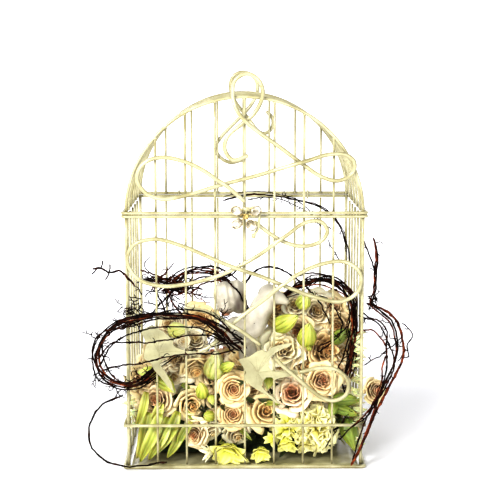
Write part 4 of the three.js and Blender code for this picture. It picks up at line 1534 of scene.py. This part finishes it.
def add_back_vine():
    """The tangle high at the back left, its long twigs, and one twig that points out at the left."""
    bundle("vine_back_twigs", ["vine_back"], BACK_VINE, 6, 5.0, 1.0, seed=3, twiglets=6, warm=2)
    clay = Clay()
    warm = Clay()
    for k, spot in enumerate(BACK_TUFTS):
        tuft(clay, spot, 5, 980 + k, 985 + 5 * k, 1.3)
    for k in range(60):
        r = random.Random(1000 + k)
        core = k % 2
        t = r.uniform(0.2, 0.8) if core else r.uniform(-0.1, 1.1)
        start = (-116 + 62 * t, r.uniform(-20, 20), 203 - 20 * t + r.uniform(-5, 5))
        aim = (r.choice((-1, 1)), r.uniform(-0.2, 0.2), r.uniform(-0.7, 0.35))
        own = warm if k % 3 == 0 else clay
        tendril(own, start, aim, r.uniform(12, 30), 1040 + k, (0.8, 0.65, 0.6), 1.9 if core else 1.2, 0.3)
    for k, rows in enumerate(BACK_LOOSE):
        own = warm if k in (1, 7, 9) else clay
        strand(own, smooth_path(rows, 3), 1.1, 0.7, 0.6, k, 1100 + k, (0.9, 0.7, 0.6))
    strand(clay, smooth_path(OUTWARD_TWIG, 2), 1.3, 0.3, 0.3, 0, 1120, (1.6, 1.1, 0.9))
    for x0, z0, x1, z1 in ((-150, 229, -154, 221), (-159, 234, -157, 242), (-163, 234, -169, 227),
                           (-150, 229, -149, 238)):
        thorn = [(x0, -115, z0), ((x0 + x1) / 2 + 0.6, -115, (z0 + z1) / 2), (x1, -115, z1)]
        tube(clay, thorn, 0.8, 6, tint=(1.0, 0.7, 0.6))
    clay.build("vine_back_loose", BARK, "cage")
    warm.build("vine_back_ruddy", BARK_WARM, "cage")


TOP_VINE = [
    (-25, -8, 297), (-8, -12, 302), (12, -14, 305), (36, -14, 303), (66, -14, 297), (90, -16, 290),
    (108, -22, 276), (118, -34, 254), (121, -50, 226),
]
TOP_LOOSE = [
    [(4, -14, 298), (22, -14, 301), (48, -14, 296), (74, -14, 284), (94, -16, 270), (104, -18, 262)],
    [(60, -14, 299), (76, -14, 286), (86, -16, 272), (92, -18, 268)],
    [(98, -22, 252), (106, -24, 238), (118, -30, 222)],
]


def add_top_vine():
    """The twig that runs across inside the lid."""
    bundle("vine_top_twigs", ["vine_top"], TOP_VINE, 3, 3.0, 0.75, seed=4, twiglets=3, reach=7)
    clay = Clay()
    for k, rows in enumerate(TOP_LOOSE):
        path = smooth_path(rows, 3)
        strand(clay, path, 0.6, 0.8, 0.5, k, 1200 + k, (0.6, 0.45, 0.4))
        side_twigs(clay, path, 1220, k, 2, 5, up=(-1, 0.4), reach=(4, 9))
    clay.build("vine_top_loose", BARK, "cage")


RIGHT_VINE = [
    (146, -78, 262), (149, -82, 244), (147, -86, 222), (146, -90, 204), (142, -90, 188), (152, -92, 178),
    (164, -94, 168), (170, -94, 152), (172, -94, 132), (168, -94, 115), (160, -96, 98), (152, -100, 82),
    (146, -107, 66), (138, -113, 48), (132, -114, 32), (123, -114, 12),
]
OUTER_LOOSE = [
    [(138, -89, 188), (153, -92, 183), (163, -94, 178), (173, -95, 166), (178, -95, 150), (180, -95, 131),
     (173, -95, 110), (162, -97, 91), (149, -101, 66), (138, -108, 41), (129, -114, 24), (120, -115, 7)],
    [(134, -84, 260), (140, -84, 246), (144, -86, 234), (147, -88, 220), (146, -90, 204), (150, -92, 192)],
    [(129, -86, 173), (135, -88, 171), (148, -90, 167), (157, -92, 156), (163, -93, 142), (168, -94, 131),
     (170, -95, 117), (164, -97, 101), (152, -100, 80), (138, -108, 61), (120, -113, 51), (106, -113, 36)],
    [(127, -86, 152), (135, -88, 157), (146, -90, 157), (157, -91, 146), (162, -92, 133), (157, -94, 117),
     (156, -96, 101), (150, -100, 85), (139, -106, 67), (121, -112, 52)],
    [(133, -88, 178), (141, -89, 172), (152, -91, 169), (161, -92, 158), (161, -93, 138), (162, -94, 124),
     (160, -97, 107), (153, -100, 87), (138, -108, 62), (128, -113, 37), (121, -115, 12)],
    [(124, -88, 66), (112, -90, 50), (100, -92, 34), (92, -92, 20)],
    [(136, -90, 116), (146, -92, 124), (153, -94, 127), (160, -94, 134), (170, -94, 142), (178, -94, 151)],
    [(178, -94, 166), (186, -95, 160), (190, -95, 152), (184, -95, 140), (186, -95, 128), (178, -95, 126)],
    [(178, -94, 148), (180, -94, 136), (178, -94, 126), (174, -94, 122)],
]


def add_right_vine():
    """The twigs that hang down outside the right corner."""
    bundle("vine_right_twigs", ["vine_right"], RIGHT_VINE, 2, 1.6, 1.1, seed=5, twiglets=2, turns=0.8, warm=2)
    clay = Clay()
    warm = Clay()
    for k, rows in enumerate(OUTER_LOOSE):
        path = smooth_path(rows, 3)
        lit = 1.4 if k in (0, 3) else 1.0 if k < 5 else 0.7
        thick = 1.6 if k == 0 else 1.0 if k < 5 else 0.7
        own = warm if k in (0, 3) else clay
        strand(own, path, thick, 0.5, 0.6, k, 1300 + k, (lit, lit * 0.85, lit * 0.75))
        side_twigs(clay, path, 1320, k, 3, 9, across=(-1, 0.3), reach=(3, 9))
    for k in range(16):
        r = random.Random(1400 + k)
        start = (144 + r.uniform(-5, 6), -90, 194 + r.uniform(-6, 6))
        aim = (r.uniform(-1, 1), -0.1, r.uniform(-1, 1))
        tendril(clay, start, aim, r.uniform(5, 14), 1420 + k, BLACK_TWIG)
    clay.build("vine_right_loose", BARK, "cage")
    warm.build("vine_right_ruddy", BARK_WARM, "cage")


LEFT_TENDRIL = [
    (-136, -124, 92), (-158, -122, 81), (-170, -120, 66), (-175, -118, 50), (-173, -117, 33),
    (-164, -117, 20), (-150, -117, 12), (-133, -117, 8), (-110, -117, 9), (-88, -117, 13),
]


def add_left_tendril():
    """The single thick twig that curls down at the lower left."""
    bundle("vine_tendril_twigs", ["vine_tendril_left"], LEFT_TENDRIL, 1, 0.4, 1.6, seed=8, twiglets=0,
           turns=0.2)


# ---------- stage ----------
def map_range(tree, from_min, from_max, to_min, to_max):
    """A node that maps one span of values to another."""
    node = tree.nodes.new("ShaderNodeMapRange")
    for socket, value in (
        ("From Min", from_min), ("From Max", from_max), ("To Min", to_min), ("To Max", to_max),
    ):
        node.inputs[socket].default_value = value
    return node


def add_floor():
    """A sheet that runs back and then curves up, brighter away from the cage."""
    back = 2.0
    bend = 2.0
    profile = [(-4.0, 0.0), (back, 0.0)]
    for k in range(1, 13):
        a = math.pi / 2 * k / 12
        profile.append((back + bend * math.sin(a), bend - bend * math.cos(a)))
    profile.append((back + bend, 7.0))
    verts = [(x, y, z) for y, z in profile for x in (-8, 8)]
    faces = [(2 * i, 2 * i + 1, 2 * i + 3, 2 * i + 2) for i in range(len(profile) - 1)]
    mesh = bpy.data.meshes.new("floor")
    mesh.from_pydata(verts, [], faces)
    mesh.polygons.foreach_set("use_smooth", [True] * len(faces))
    floor = bpy.data.objects.new("floor", mesh)
    bpy.context.scene.collection.objects.link(floor)
    m = Nodes("floor")
    stops = [(0.2, (0.80, 0.80, 0.83)), (0.8, (0.82, 0.82, 0.84))]
    m.join(m.ramp(m.noise(3.0), stops), m.shader.inputs["Base Color"])
    m.set(Roughness=0.9, Emission_Color=(1, 1, 1, 1))
    place = m.node("ShaderNodeTexCoord")
    reach = m.node("ShaderNodeVectorMath")
    reach.operation = "LENGTH"
    fade = map_range(m.tree, 0.2, 1.2, 0.27, 0.8)
    m.join(place.outputs["Object"], reach.inputs[0])
    m.join(reach.outputs["Value"], fade.inputs["Value"])
    m.join(fade.outputs["Result"], m.shader.inputs["Emission Strength"])
    mesh.materials.append(m.material)


def add_sky():
    """White light that is stronger from the sides than from above."""
    world = bpy.data.worlds.new("world")
    world.use_nodes = True
    tree = world.node_tree
    sky = tree.nodes["Background"]
    sky.inputs["Color"].default_value = (1, 1, 1, 1)
    height = tree.nodes.new("ShaderNodeSeparateXYZ")
    paler = map_range(tree, 0.2, 0.45, 0.95, 0.12)
    tree.links.new(tree.nodes.new("ShaderNodeTexCoord").outputs["Generated"], height.inputs[0])
    tree.links.new(height.outputs["Z"], paler.inputs["Value"])
    tree.links.new(paler.outputs["Result"], sky.inputs["Strength"])
    bpy.context.scene.world = world


def add_stage():
    """A white floor that curves up behind the cage, a pale sky and three lamps."""
    add_floor()
    add_sky()
    scene = bpy.context.scene
    scene.view_settings.view_transform = "Standard"
    scene.view_settings.gamma = 0.76
    for name, place, aim, size, power in (
        ("key", (-1.1, -1.9, 1.35), (0, 0, 0.1), 0.7, 82),
        ("fill", (0.7, -2.2, 0.55), (0, 0, 0.05), 0.8, 20),
        ("back", (-0.9, 1.7, 1.3), (0, 0, 0.2), 0.9, 12),
    ):
        data = bpy.data.lights.new(name, "AREA")
        data.size = size
        data.energy = power
        light = bpy.data.objects.new(name, data)
        light.location = place
        light.rotation_euler = (Vector(aim) - Vector(place)).to_track_quat("-Z", "Y").to_euler()
        scene.collection.objects.link(light)


add_wires()
add_sheet_doves()
add_latch()
add_foam()
add_roses()
add_greens()
add_blooms()
add_foliage()
add_cover()
add_doves()
add_left_wreath()
add_right_wreath()
add_back_vine()
add_top_vine()
add_right_vine()
add_left_tendril()
add_stage()
